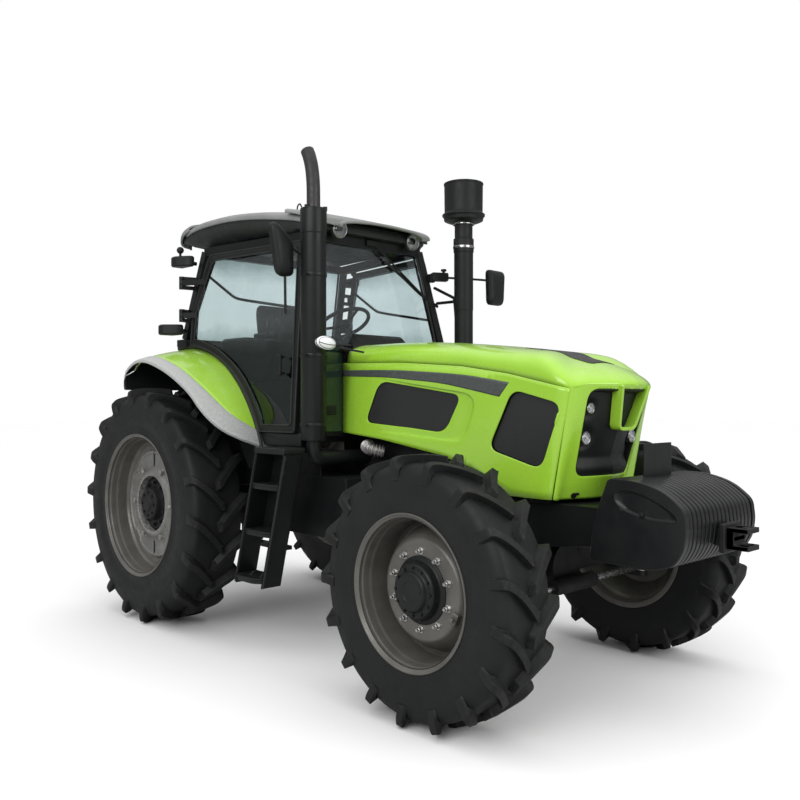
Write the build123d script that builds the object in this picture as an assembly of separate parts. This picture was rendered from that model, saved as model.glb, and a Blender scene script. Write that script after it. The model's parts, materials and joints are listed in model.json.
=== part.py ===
from build123d import *
import os
from math import acos, atan2, cos, degrees, hypot, pi, radians, sin, sqrt, tan
from types import SimpleNamespace

# Four-wheel-drive farm tractor with a closed cab. Millimetres.
# While it is drawn, X runs forward from the rear axle, Y to the tractor's left and Z up from the ground.

# ---- clearances ----
running_gap = 6.0        # between pieces that swing past each other
seat_gap = 0.3           # between separate pieces that bear on each other
pin_gap = 0.08           # radial, at a pin that turns in its eye
rod_eye_gap = 2.5        # radial, where a linkage is left open

# ---- wheels ----
wheelbase = 2810.0
rear_wheel = SimpleNamespace(
    x=0.0, side=914.0, radius=842.0, width=430.0, lugs=18, facets=24, lug_height=44.0, lug_width=46.0, lug_slant=44.0,
    seat_radius=483.0, flange_radius=508.0, rim_width=406.0, rim_skin=10.0,
    well_side=30.0, well_radius=440.0, disc_side=66.0, disc_radius=330.0, disc_skin=24.0,
    hub_radius=118.0, hub_face=126.0)
front_wheel = SimpleNamespace(
    x=wheelbase, side=957.0, radius=664.0, width=366.0, lugs=17, facets=24, lug_height=38.0, lug_width=40.0, lug_slant=44.0,
    seat_radius=356.0, flange_radius=381.0, rim_width=330.0, rim_skin=9.0,
    well_side=-70.0, well_radius=318.0, disc_side=-40.0, disc_radius=225.0, disc_skin=16.0,
    hub_radius=128.0, hub_face=95.0)

# ---- driveline ----
gearbox_half = 240.0
gearbox_low = 620.0
gearbox_top = 1190.0
gearbox_rear = -300.0
engine_rear = 1520.0
engine_front = 2720.0
engine_half = 260.0
engine_low = 950.0
engine_top = 1560.0
rail_thick = 38.0
rail_low = 880.0
rail_top = 1050.0
bolster_front = 3360.0
bolster_low = 800.0
trumpet_radius = 135.0
trumpet_end = 610.0

# ---- front axle ----
kingpin_side = 740.0
kingpin_radius = 62.0
kingpin_half_height = 105.0
ear_thick = 40.0
knuckle_face = 838.0     # outer face of the knuckle, where the hub turns
steer_arm = 170.0        # kingpin axis to the ball on the steering arm
arm_thick = 26.0
tie_rod_radius = 19.0
ear_low = front_wheel.radius - kingpin_half_height - seat_gap - ear_thick
rod_x = wheelbase + steer_arm
rod_z = ear_low + arm_thick + running_gap + tie_rod_radius + 3

# ---- hood ----
hood_rear = 1555.0
hood_rear_half = 440.0
nose_half = 402.0
nose_front = 3345.0      # brow, on the centre line
nose_rake = 0.19         # the nose leans back this much for each unit of height below the brow
nose_bow = 22.0          # how far the brow's middle stands ahead of the mouth's sides
nose_corner = 3258.0     # where the sides turn towards the front
nose_low = 1070.0
nose_top = 1676.0
hood_skin = 8.0
# share of the hood's length, height of the seam between lid and side panel,
# rise of the shoulder above the seam, rise of the middle above the seam
hood_line = [(0.0, 1832.0, 60.0, 131.0), (0.27, 1820.0, 48.0, 136.0), (0.54, 1784.0, 42.0, 132.0),
             (0.724, 1735.0, 38.0, 133.0), (0.92, 1658.0, 40.0, 124.0), (1.0, 1626.0, 38.0, 65.0)]
seam_front_x = 3264.0
nose_seam_low_x = 3166.0
grille_half = 277.0
grille_low = 1190.0
grille_top = 1650.0
grille_depth = 52.0
loop_top = 130.0         # half width of the hanging band in front of the grille
loop_foot = 78.0
loop_low = 1432.0
loop_thick = 13.0
panel_rear = 1500.0
hood_hinge = (1570.0, 1900.0)
hinge_pin = 10.0

# ---- cab ----
floor_half = 672.0
floor_low = 1362.0
deck = 1700.0            # underside of the floor below the seat
cab_front = 1500.0
wall_thick = 30.0
sill_height = 2000.0     # top of the rear wall
cowl_top = 1935.0        # under the windscreen
header_top = 2719.0
post = 58.0
foot_rear = 1385.0       # crossbar that ties the front posts below the floor
glass_thick = 6.0
door_thick = 26.0
door_top = 2655.0
hinge_axis = (96.0, 806.0)
hinge_heights = (sill_height + 200, door_top - 215)
# height, half width over the doors at the rear axle, half width over the doors at the front post
side_levels = [(floor_low, 778.0, 764.0), (2030.0, 776.0, 670.0), (2700.0, 738.0, 534.0)]
# x and height of the post centre lines
front_post = [(1425.0, floor_low), (1350.0, 2030.0), (1250.0, 2690.0)]
rear_post = [(10.0, sill_height + 50), (190.0, 2690.0)]
fender_arc = 1150.0
fender_side = 672.0      # inner edge, against the cab floor
fender_outer = 1100.0
# fender's outer edge from above, and the seam between the sheet and the light strip along that edge
fender_edge = [(fender_outer, -400.0), (fender_outer, 740.0), (1072.0, 890.0), (960.0, 1000.0), (870.0, 1046.0),
               (780.0, 1072.0), (fender_side, 1080.0)]
fender_seam = [(fender_outer - 88, -400.0), (fender_outer - 92, 640.0), (968.0, 880.0), (905.0, 960.0),
               (840.0, 1000.0), (770.0, 1016.0), (fender_side, 1020.0)]
door_arc = fender_arc + 18
roof_half = 735.0
fascia_front = 1345.0
mirror_height = 2500.0

# ---- exhaust, intake, weights, hitch ----
stack = (1545.0, -705.0)
stack_radius = 80.0
intake = (1600.0, 620.0)
intake_radius = 67.0
overall_height = 3170.0
shroud_top = overall_height - 385
pipe_radius = 43.0
drum_low = overall_height - 285
drum_radius = 140.0
weight_half = 360.0
weight_plates = 18
weight_rear = 3410.0
weight_front = 3868.0
tow_height = 935.0
tow_bar = 41.0           # half depth of the tow bar
tow_pin_radius = 16.0
front_reach = 4000.0
link_length = 860.0
link_pivot = (-150.0, 300.0, 520.0)
arm_length = 330.0
arm_pivot = (-170.0, 1110.0)
rockshaft_radius = 36.0
ball_radius = 18.4
drawbar_reach = -832.0
top_link_length = 560.0
top_link_tilt = 52.0

parts = {}


def slab(points, y_low, y_high, radius=0):
    """Outline in X and Z, from one Y to another."""
    edge = [(x, y_low, z) for x, z in points]
    wire = FilletPolyline(*edge, radius=radius, close=True) if radius else Polyline(*edge, close=True)
    return extrude(make_face(wire), amount=y_high - y_low, dir=(0, 1, 0))


def plan(points, z_low, z_high, radius=0):
    """Outline in X and Y, from one height to another."""
    edge = [(x, y, z_low) for x, y in points]
    wire = FilletPolyline(*edge, radius=radius, close=True) if radius else Polyline(*edge, close=True)
    return extrude(make_face(wire), amount=z_high - z_low, dir=(0, 0, 1))


def cross(points, x_low, x_high, radius=0):
    """Outline in Y and Z, from one X to another."""
    edge = [(x_low, y, z) for y, z in points]
    wire = FilletPolyline(*edge, radius=radius, close=True) if radius else Polyline(*edge, close=True)
    return extrude(make_face(wire), amount=x_high - x_low, dir=(1, 0, 0))


def block(x_low, x_high, y_low, y_high, z_low, z_high):
    """Plain box between two corners."""
    return plan([(x_low, y_low), (x_high, y_low), (x_high, y_high), (x_low, y_high)], z_low, z_high)


def rod(start, end, radius):
    """Round bar between two points."""
    start, end = Vector(*start), Vector(*end)
    face = Plane(origin=start, z_dir=end - start) * Circle(radius)
    return extrude(face, amount=(end - start).length)


def beam(start, end, wide, deep, side=(0, 1, 0)):
    """Square bar between two points, its width along side."""
    start, end = Vector(*start), Vector(*end)
    way = (end - start).normalized()
    across = Vector(*side)
    across = (across - way * across.dot(way)).normalized()
    face = Plane(origin=start, x_dir=across, z_dir=way) * Rectangle(wide, deep)
    return extrude(face, amount=(end - start).length)


def tube_path(points, radius, bends):
    """Round bar along straight runs joined by arcs."""
    path = FilletPolyline(*points, radius=bends)
    start, way = path @ 0, path % 0
    return sweep(Plane(origin=start, z_dir=way) * Circle(radius), path=path)


def turned(points):
    """Outline in (across, radius) turned about the Y axis."""
    return revolve(make_face(Polyline(*[(r, y, 0) for y, r in points], close=True)), axis=Axis.Y)


def other_side(shape):
    """The same piece on the opposite side of the tractor."""
    return mirror(shape, about=Plane.XZ)


def both(shape):
    """A piece and its mirror image, as two solids that don't touch."""
    return Compound(children=[*shape.solids(), *other_side(shape).solids()])


def group(*shapes):
    """Solids that share a node."""
    return Compound(children=[solid for shape in shapes for solid in shape.solids()])


# ---- wheels ----
def faceted_ring(outline, sides):
    """Outline in (across, radius) carried round the Y axis in flat facets."""
    steps = [2 * pi * i / sides for i in range(sides)]
    rings = [[Vector(r * sin(a), y, r * cos(a)) for y, r in outline] for a in steps]
    faces = []
    for here, ahead in zip(rings, rings[1:] + rings[:1]):
        for i in range(len(outline)):
            j = (i + 1) % len(outline)
            faces.append(Face(Wire.make_polygon([here[i], here[j], ahead[j], ahead[i]])))
    return Solid(Shell(faces))


def lug(w):
    """One slanting bar on the +Y half of the tread; its top follows the tread radius and its foot the sidewall."""
    half = w.width / 2
    lean = tan(radians(w.lug_slant))
    inner = -half * 0.05
    middle = (inner + half) / 2
    reach = w.lug_width / 2 / cos(radians(w.lug_slant))
    # distance across the tread, depth below the tread radius
    outline = [(inner, 0), (half * 0.7, 0), (half, 28), (half - 4, w.lug_height + 60),
               (half - 44, w.lug_height + 60), (inner, w.lug_height + 24)]
    points = []
    for y, depth in outline:
        along = -(y - middle) * lean
        points.append(Vector(along - reach, y, sqrt((w.radius - depth) ** 2 - (abs(along) + reach) ** 2)))
    return extrude(Face(Wire.make_polygon(points)), amount=2 * reach, dir=(1, 0, 0))


def tyre(w):
    """Carcass with two staggered rows of slanting lugs fused round it."""
    half, crown = w.width / 2, w.radius - w.lug_height
    carcass_half, seat = half - 8, w.seat_radius + seat_gap
    mid = (seat + crown) / 2
    share = (w.flange_radius + 4 - seat) / (mid - seat)      # where the sidewall passes the rim flange
    bead = (w.rim_width / 2 - w.rim_skin - 2 - share * carcass_half) / (1 - share)
    sides = w.facets
    fit = 1 / cos(pi / sides)          # keeps the bore's flats outside the round rim seat
    outline = [
        (-bead, seat * fit), (-carcass_half, mid), (-half * 0.66, crown - 4),
        (half * 0.66, crown - 4), (carcass_half, mid), (bead, seat * fit)]
    carcass = faceted_ring(outline, sides)
    near, far = lug(w), other_side(lug(w))
    pitch = 360 / w.lugs
    lugs = [Rot(0, i * pitch, 0) * near for i in range(w.lugs)]
    lugs += [Rot(0, (i + 0.5) * pitch, 0) * far for i in range(w.lugs)]
    return carcass.fuse(*lugs)


def rim(w):
    """Flanged barrel and dished disc, turned about the axle; +Y is the outer side."""
    half, skin, seat, flange = w.rim_width / 2, w.rim_skin, w.seat_radius, w.flange_radius
    barrel = turned([
        (-half, flange), (skin - half, flange), (skin - half, seat), (half - skin, seat), (half - skin, flange),
        (half, flange), (half, seat - skin), (w.well_side, seat - skin), (w.well_side, w.well_radius),
        (w.well_side - skin, w.well_radius), (w.well_side - skin, seat - skin), (-half, seat - skin)])
    disc = turned([
        (w.disc_side, 0), (w.disc_side, w.disc_radius), (w.well_side, w.well_radius + 1),
        (w.well_side - skin, w.well_radius + 1), (w.disc_side - w.disc_skin, w.disc_radius),
        (w.disc_side - w.disc_skin, 0)])
    return barrel + disc


def place_wheel(shape, w, side):
    """Puts a wheel drawn about the origin on its axle; side is 1 on the left and -1 on the right."""
    shape = shape if side > 0 else other_side(shape)
    return Pos(w.x, side * w.side, w.radius) * shape


def rear_rim():
    """Rim with its cast disc, hub and the axle flange that it bolts to."""
    w = rear_wheel
    inner = trumpet_end + seat_gap - w.side
    back = w.disc_side - w.disc_skin
    hub = turned([
        (inner, 0), (inner, 165), (inner + 30, 165), (inner + 30, w.hub_radius), (back + 1, w.hub_radius),
        (w.disc_side + 20, w.hub_radius), (w.hub_face, w.hub_radius - 24), (w.hub_face, 0)])
    return rim(w) + hub


def front_rim():
    """Rim with its disc and the planetary hub that stands out through it."""
    w = front_wheel
    inner = knuckle_face - w.side + seat_gap
    hub = turned([
        (inner, 0), (inner, 158), (w.disc_side - 1, 158), (w.disc_side - 1, w.hub_radius + 64),
        (w.disc_side + 14, w.hub_radius + 64), (w.disc_side + 14, w.hub_radius),
        (w.hub_face - 22, w.hub_radius - 8), (w.hub_face, w.hub_radius - 34), (w.hub_face, 0)])
    return rim(w) + hub


def front_axle():
    """Beam with a drive housing in the middle, kingpin bosses at its ends and the steering cylinder in front."""
    z, x = front_wheel.radius, wheelbase
    web = [(x - 55, z - 66), (x + 55, z - 66), (x + 55, z + 66), (x - 55, z + 66)]
    axle = slab(web, -kingpin_side, kingpin_side, radius=24)
    axle = axle + rod((x - 130, 0, z), (x + 130, 0, z), 130) + block(x - 85, x + 85, -110, 110, z, bolster_low)
    for side in (1, -1):
        y = side * kingpin_side
        axle = axle + rod((x, y, z - kingpin_half_height), (x, y, z + kingpin_half_height), kingpin_radius)
    barrel = rod((rod_x, -190, rod_z), (rod_x, 190, rod_z), 44)
    bracket = block(x + 30, rod_x, -100, 100, rod_z + 10, rod_z + 36)
    bore = rod((rod_x, -200, rod_z), (rod_x, 200, rod_z), tie_rod_radius + pin_gap)
    return axle + (barrel + bracket - bore)


def steering_rod():
    """Rod through the cylinder; each end rides above the pad of a steering arm."""
    end = kingpin_side - 20
    shaft = rod((rod_x, -end, rod_z), (rod_x, end, rod_z), tie_rod_radius)
    for side in (1, -1):
        shaft = shaft + rod((rod_x, side * end, rod_z - tie_rod_radius - 3), (rod_x, side * end, rod_z + 26), 34)
    return shaft


def knuckle(side):
    """Fork over the kingpin boss, with a steering arm in front and a spindle face outside."""
    x, z = wheelbase, front_wheel.radius
    y = side * kingpin_side
    high = z + kingpin_half_height + seat_gap
    shape = rod((x, y, high), (x, y, high + ear_thick), 84)
    shape = shape + rod((x, y, ear_low), (x, y, ear_low + ear_thick), 84)
    back = kingpin_side + kingpin_radius + running_gap
    wall = cross([(side * back, ear_low), (side * knuckle_face, z - 120), (side * knuckle_face, z + 120),
                  (side * back, high + ear_thick)], x - 84, x + 84)
    for low in (ear_low, high):
        shape = shape + block(x - 84, x + 84, *sorted((y, side * (back + 12))), low, low + ear_thick)
    arm = plan([(x, y - 60), (rod_x + 30, y - side * 20 - 34), (rod_x + 30, y - side * 20 + 34), (x, y + 60)],
               ear_low, ear_low + arm_thick, radius=20)
    return shape + wall + arm


# ---- driveline ----
def gearbox():
    """Gearbox and rear axle casting with its two trumpets."""
    z = rear_wheel.radius
    outline = [(gearbox_rear, gearbox_low), (-60, gearbox_low), (engine_rear, 690), (engine_rear, gearbox_top),
               (-60, gearbox_top + 40), (gearbox_rear, 1120)]
    body = slab(outline, -gearbox_half, gearbox_half, radius=30)
    trumpets = turned([(-trumpet_end, 0), (-trumpet_end, 175), (-trumpet_end + 40, 175),
                       (-trumpet_end + 70, trumpet_radius), (-gearbox_half + 10, 190), (gearbox_half - 10, 190),
                       (trumpet_end - 70, trumpet_radius), (trumpet_end - 40, 175), (trumpet_end, 175),
                       (trumpet_end, 0)])
    x, shaft_z = arm_pivot
    bore = rod((x, -gearbox_half - 10, shaft_z), (x, gearbox_half + 10, shaft_z), rockshaft_radius + pin_gap)
    for s in (1, -1):
        low, high = sorted((s * 140, s * 230))
        body = body + block(1270, 1370, low, high, 1100, floor_low) + block(-40, 60, low, high, 1150, deck)
    return body + Pos(0, 0, z) * trumpets - bore


def engine():
    """Engine as one plain block, and the radiator in front of it."""
    block_body = block(engine_rear, engine_front, -engine_half, engine_half, engine_low, engine_top)
    radiator = block(2900, 3060, -330, 330, rail_top, 1580)
    return group(block_body, radiator)


def front_frame():
    """Rails along the engine and the bolster that carries the axle, radiator and weights."""
    rails = [block(1950, engine_front + 60, *sorted((s * engine_half, s * (engine_half + rail_thick))),
                   rail_low, rail_top) for s in (1, -1)]
    half = engine_half + rail_thick
    bolster = slab([(engine_front, bolster_low), (2900, bolster_low), (bolster_front, 860),
                    (bolster_front, rail_top), (engine_front, rail_top)], -half, half)
    return bolster + rails[0] + rails[1]


def drive_shaft():
    """Shaft from the gearbox to the front axle."""
    rear, front, low = engine_rear, wheelbase - 130, front_wheel.radius
    high = low + 80
    tube = rod((rear + 60, 0, high), (front - 60, 0, low), 30)
    return tube + rod((rear, 0, high), (rear + 66, 0, high), 44) + rod((front - 66, 0, low), (front, 0, low), 44)


# ---- hood ----
def seam_height(x):
    """Height of the seam between the lid and a side panel."""
    share = max(0, (x - hood_rear) / (nose_front - hood_rear))
    for (s0, z0, *_), (s1, z1, *_) in zip(hood_line, hood_line[1:]):
        if share <= s1:
            return z0 + (share - s0) / (s1 - s0) * (z1 - z0)
    return hood_line[-1][1]


def seam_line(drop):
    """Seam from the rear to the nose as straight runs between the lid's sections, lowered by a drop."""
    stations = [hood_rear + share * (nose_front - hood_rear) for share, *_ in hood_line[:-1]]
    return [(x, seam_height(x) - drop) for x in stations] + [(seam_front_x - drop, seam_height(seam_front_x) - drop)]


def hood_half(x):
    """Half width of the hood."""
    share = (x - panel_rear) / (seam_front_x - panel_rear)
    return hood_rear_half + share * (nose_half - hood_rear_half)


def lid_form(inset):
    """Lid above the seam as one closed form, drawn inset from the outside."""
    sections = []
    for share, seam, shoulder, crown in hood_line:
        x = hood_rear + share * (nose_front - hood_rear)
        half = hood_half(x) + 20 - inset
        low = seam + running_gap / 2 - (inset and 40)
        top = seam + shoulder - inset
        sections.append(make_face([
            Line((x, -half, low), (x, -half, top)),
            ThreePointArc((x, -half, top), (x, 0, seam + crown - inset), (x, half, top)),
            Line((x, half, top), (x, half, low)), Line((x, half, low), (x, -half, low))]))
    return loft(sections, ruled=True)


def nose_plan(inset):
    """Hood's outline from above as a closed form that leans back downwards, drawn inset from the outside."""
    low, high, rear = nose_low - 100, nose_top + 500, panel_rear - 500
    sides = [(rear, hood_half(rear) - inset, 0), (nose_corner - inset, hood_half(nose_corner) - inset, 90),
             (nose_front - nose_bow - inset, grille_half + 10 - 0.6 * inset, 200), (nose_front - inset, 0, 1000)]
    edge = sides + [(x, -y, bend) for x, y, bend in sides[2::-1]]
    lean = nose_rake * (low - nose_top)
    wire = FilletPolyline(*[(x + lean, y, low) for x, y, bend in edge], radius=[bend for x, y, bend in edge], close=True)
    return extrude(make_face(wire), amount=(high - low) * hypot(nose_rake, 1), dir=Vector(nose_rake, 0, 1).normalized())


def nose_x(y, z, inset):
    """Where the nose's front stands at a place across and up."""
    return nose_front - inset - nose_bow * abs(y) / (grille_half + 10) - nose_rake * (nose_top - z)


def mouth_outline(inset):
    """Grille opening in Y and Z, drawn inset from its edge."""
    low, high = grille_half - 15 - inset, grille_half - inset
    return [(-low, grille_low + inset), (low, grille_low + inset), (high, grille_top - inset), (-high, grille_top - inset)]


def mouth_form(inset, bend):
    """Grille opening as a closed form through the nose."""
    return cross(mouth_outline(inset), nose_front - 300, nose_front + 10, radius=bend)


def badge_loop(grow):
    """Band that hangs in front of the grille, as a closed form; grow makes it thicker all round."""
    outlines = []
    for out in (grow, -loop_thick - grow):
        outlines.append([(-loop_top - out, nose_top - 8), (-loop_foot - out, loop_low - out),
                         (loop_foot + out, loop_low - out), (loop_top + out, nose_top - 8)])
    outer = cross(outlines[0], nose_front - 300, nose_front + 10, radius=26)
    return outer - cross(outlines[1], nose_front - 310, nose_front + 20, radius=16)


def hood_form(inset):
    """Lid and nose together, drawn inset from the outside."""
    open_end = 40 if inset else 0
    nose = block(nose_seam_low_x - open_end, nose_front, -500, 500, nose_low - open_end, grille_top)
    return (Pos(-inset, 0, 0) * lid_form(inset) + nose) & nose_plan(inset)


def hood_lid():
    """Lid and nose shell, open below and behind, with the grille opening and its two hinge lugs."""
    outer = hood_form(0)
    shell = outer - hood_form(hood_skin)
    loop = (badge_loop(0) & nose_plan(2)) - nose_plan(grille_depth - seat_gap)
    half_gap = running_gap / 2
    behind = slab([(panel_rear - 100, nose_low - 50), (nose_seam_low_x + half_gap, nose_low - 50),
                   *reversed(seam_line(-half_gap)), (panel_rear - 100, seam_height(hood_rear) + half_gap)], -600, 600)
    x, z = hood_hinge
    for s in (1, -1):
        low, high = sorted((s * 180, s * 200))
        lug_plate = (block(x - 14, x + 24, low, high, z, 1990) & outer) + rod((x, low, z), (x, high, z), 22)
        shell = shell + (lug_plate - rod((x, low - 1, z), (x, high + 1, z), hinge_pin + pin_gap))
    return shell - mouth_form(0, 55) - behind + loop


def hood_hinge_ears():
    """Ears on the cab's front wall with the pins that the lid swings on."""
    x, z = hood_hinge
    ear = slab([(cab_front, z - 110), (cab_front, z - 40), (x - 20, z), (x + 20, z), (x + 14, z - 50), (x - 20, z - 110)],
               200 + seat_gap, 222)
    ear = ear + rod((x, 200 + seat_gap, z), (x, 222, z), 20) + rod((x, 178, z), (x, 210, z), hinge_pin)
    return ear


def side_panel():
    """Fixed panel beside the engine on the left, with its two screen openings."""
    half_gap = running_gap / 2
    outline = [(panel_rear, seam_height(panel_rear) - half_gap), *seam_line(half_gap),
               (nose_seam_low_x - half_gap, 1078), (2860, 1082), (2600, 1205), (2363, 1278), (1861, 1354),
               (panel_rear, 1388)]
    strip = plan([(panel_rear, hood_rear_half), (seam_front_x, nose_half), (seam_front_x, nose_half - hood_skin),
                  (panel_rear, hood_rear_half - hood_skin)], 1000, 1900)
    panel = slab(outline, 300, 500) & strip
    for points in screen_outlines:
        panel = panel - slab(points, 300, 500, radius=60)
    return panel + block(3080, 3140, 270, 402, rail_top, 1090)


screen_outlines = [
    [(1850, 1716), (2512, 1621), (2385, 1403), (1722, 1455)],
    [(2880, 1652), (3203, 1571), (3068, 1230), (2714, 1325)],
]


def side_screens():
    """Perforated screens in the side panel's openings."""
    strip = plan([(panel_rear, hood_rear_half - 3), (seam_front_x, nose_half - 3), (seam_front_x, nose_half - 6),
                  (panel_rear, hood_rear_half - 6)], 1000, 1900)
    screens = []
    for points in screen_outlines:
        middle = (sum(x for x, z in points) / 4, sum(z for x, z in points) / 4)
        fitted = [(x + (seat_gap if x < middle[0] else -seat_gap), z + (seat_gap if z < middle[1] else -seat_gap))
                  for x, z in points]
        screens += (slab(fitted, 300, 500, radius=60) & strip).solids()
    return Compound(children=screens)


def grille():
    """Dark tray that fills the nose opening, its floor set back behind the edge."""
    wall, floor = 14, 12
    tray = (mouth_form(seat_gap, 55) & nose_plan(18)) - nose_plan(grille_depth + floor)
    return tray - ((mouth_form(wall, 55 - wall) + badge_loop(seat_gap)) - nose_plan(grille_depth))


def headlamps():
    """Four round lamps on the grille's floor."""
    lamps = []
    for side, height, radius in ((215, 1394, 34), (222, 1549, 29)):
        face = nose_x(side, height, 24)
        for s in (1, -1):
            lamps.append(rod((face - 80, s * side, height), (face, s * side, height), radius)
                         - nose_plan(grille_depth - seat_gap))
    return group(*lamps)


# ---- cab ----
def side_half(x, z, inset=0.0):
    """Half width over the doors at a place, less an inset."""
    (z0, r0, f0), (z1, r1, f1) = side_levels[:2] if z < side_levels[1][0] else side_levels[1:]
    share = (z - z0) / (z1 - z0)
    rear, front = r0 + share * (r1 - r0), f0 + share * (f1 - f0)
    return rear + (front - rear) * x / wheel_to_post - inset


wheel_to_post = 1350.0


def side_wall(inset, thick):
    """Wall on the left that follows the doors' outer face at an inset."""
    sheets = []
    for low, high in zip(side_levels, side_levels[1:]):
        faces = []
        for z in (low[0], high[0]):
            ends = (-200, 1600)
            outer = [(x, side_half(x, z, inset), z) for x in ends]
            inner = [(x, side_half(x, z, inset + thick), z) for x in reversed(ends)]
            faces.append(make_face(Polyline(*outer, *inner, close=True)))
        sheets.append(loft(faces, ruled=True))
    return sheets[0] + sheets[1]


def door_rear(z):
    """Where the door's rear edge stands at a height above the fender."""
    foot = door_top - 415
    return 150 + max(0, z - foot) / (door_top - foot) * 150


def door_outline(inset):
    """Closed wire of the door in X and Z, inset from its edge."""
    arc = door_arc + inset
    z0 = rear_wheel.radius
    low = floor_low + 24 + inset
    angle_low = atan2(low - z0, sqrt(arc ** 2 - (low - z0) ** 2))
    x_rear = door_rear(0) + inset
    angle_high = acos(x_rear / arc)
    on_arc = [(arc * cos(t), 0, z0 + arc * sin(t)) for t in (angle_low, (angle_low + angle_high) / 2, angle_high)]
    top = door_top - inset
    front = [(1420 - inset, 0, low), (1350 - inset, 0, 2030), (1256 - inset, 0, top)]
    rear = [(door_rear(door_top) + inset, 0, top), (x_rear, 0, door_top - 415)]
    points = front + rear
    edges = [ThreePointArc(*on_arc), Line(on_arc[0], front[0])]
    edges += [Line(p, q) for p, q in zip(points, points[1:])]
    edges.append(Line(rear[-1], on_arc[2]))
    return Face(Wire(edges))


def door():
    """Left door frame with its hinge arms, glass opening cut."""
    sheet = side_wall(0, door_thick)
    body = extrude(door_outline(0), amount=1000, dir=(0, 1, 0)) & sheet
    body = body - extrude(door_outline(46), amount=1000, dir=(0, 1, 0))
    x, y = hinge_axis
    for z in hinge_heights:
        reach = door_rear(z) + 40
        inner = side_half(reach, z)
        arm = plan([(x, y - 12), (reach, inner - 8), (reach + 20, inner + 2), (x, y + 12)], z, z + 40)
        body = body + arm + rod((x, y, z), (x, y, z + 40), 20)
    return body


def door_glass():
    """Pane of the left door."""
    sheet = side_wall(10, glass_thick)
    return extrude(door_outline(46 + seat_gap), amount=1000, dir=(0, 1, 0)) & sheet


def cab_floor():
    """Floor, seat deck, front wall and rear wall, as one bent sheet, cut clear of the posts and the stack."""
    t, front = wall_thick, cab_front
    outline = [(-90, deck), (-90, sill_height), (-90 + t, sill_height), (-90 + t, deck + t), (560 + t, deck + t),
               (560 + t, floor_low + t), (front - t, floor_low + t), (front - t, cowl_top), (front, cowl_top),
               (front, floor_low), (560, floor_low), (560, deck)]
    half = [(-100, floor_half), (1385, floor_half), (1385, 636), (1465, 636), (front, 590)]
    mask = plan(half + [(x, -y) for x, y in reversed(half)], 1000, 2500)
    cowl = block(1335, front - t + 1, -560, 560, cowl_top - t, cowl_top)
    return (slab(outline, -floor_half, floor_half) & mask) + cowl


def post_line(stations):
    """Centre line of a left post, set inside the doors."""
    inset = door_thick + running_gap + post / 2
    return [(x, side_half(x, z, inset), z) for x, z in stations]


def cab_frame():
    """Posts, top rails, headers and the rear sill."""
    front, rear = post_line(front_post), post_line(rear_post)
    pieces = [beam(front[0], front[1], post, post), beam(front[1], front[2], post, post),
              beam(rear[0], rear[1], post, post), beam(front[2], rear[1], post, post)]
    frame = None
    for piece in pieces:
        frame = piece if frame is None else frame + piece
    frame = frame + other_side(frame)
    for p in (front[2], rear[1]):
        frame = frame + beam((p[0], -p[1], p[2]), p, post, post, side=(1, 0, 0))
    sill = block(-92, rear_post[0][0] + post / 2, -rear[0][1] - post / 2, rear[0][1] + post / 2,
                 sill_height, sill_height + 52)
    foot = block(foot_rear, foot_rear + 70, -front[0][1] - post / 2, front[0][1] + post / 2,
                 floor_low - 40, floor_low)
    x, y = hinge_axis
    shape = (frame + sill + foot) & block(-300, 1700, -900, 900, 1200, header_top)
    for z in hinge_heights:
        along = (z - rear_post[0][1]) / (rear_post[1][1] - rear_post[0][1])
        px = rear_post[0][0] + along * (rear_post[1][0] - rear_post[0][0])
        inner = side_half(px, z, door_thick + running_gap + post / 2)
        for low in (z - 26 - seat_gap, z + 40 + seat_gap):
            ear = plan([(px - 20, inner), (px + 20, inner), (x + 14, y), (x - 14, y)], low, low + 26)
            ear = ear + rod((x, y, low), (x, y, low + 26), 20)
            shape = shape + ear + other_side(ear)
    return shape


def roof_line(drop, inset=0):
    """Roof's side outline, lowered by a drop and shortened at both ends."""
    return [(-180 + inset, 2848 - drop), (0 + inset / 2, 2902 - drop), (230, 2930 - drop), (800, 2912 - drop),
            (1290 - inset / 2, 2842 - drop), (1440 - inset, 2792 - drop)]


def roof_plan(inset):
    """Roof's outline from above."""
    h = roof_half - inset
    return [(-180 + inset, -h + 60), (20, -h), (760, -h + 6), (1250, -h + 150), (1420 - inset, -h + 250),
            (1440 - inset, 0), (1420 - inset, h - 250), (1250, h - 150), (760, h - 6), (20, h), (-180 + inset, h - 60)]


def roof_cap():
    """Moulded outer roof."""
    sheet = slab(roof_line(0) + roof_line(54)[::-1], -900, 900)
    return sheet & plan(roof_plan(0), 2600, 3000, radius=30)


def roof_fascia():
    """Dark moulding under the cap, hollow above the cab frame."""
    sheet = slab(roof_line(54, 30) + [(1400, 2700), (1290, header_top + seat_gap), (100, header_top + seat_gap), (-100, 2750)], -900, 900)
    return sheet & plan(roof_plan(24), 2600, 3000, radius=30) & block(-300, fascia_front, -900, 900, 2500, 3000)


def work_lamps():
    """Roof lamps on the fascia, and an oval marker lamp on an arm at each side of the front wall."""
    z = header_top - 5
    lamps = [rod((fascia_front, s * 335, z), (fascia_front + 34, s * 335, z), 40) for s in (1, -1)]
    arm = rod((cab_front - 40, 500, 1868), (1700, 520, 1930), 12) + rod((1700, 515, 1930), (1700, 690, 1943), 12)
    head = Pos(1700, 705, 1943) * Rot(0, 90, 0) * extrude(Ellipse(40, 62), amount=42)
    arm = (arm + head) & block(cab_front, 1800, 400, 900, 1800, 2100)
    return group(*lamps, arm, other_side(arm))


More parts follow.
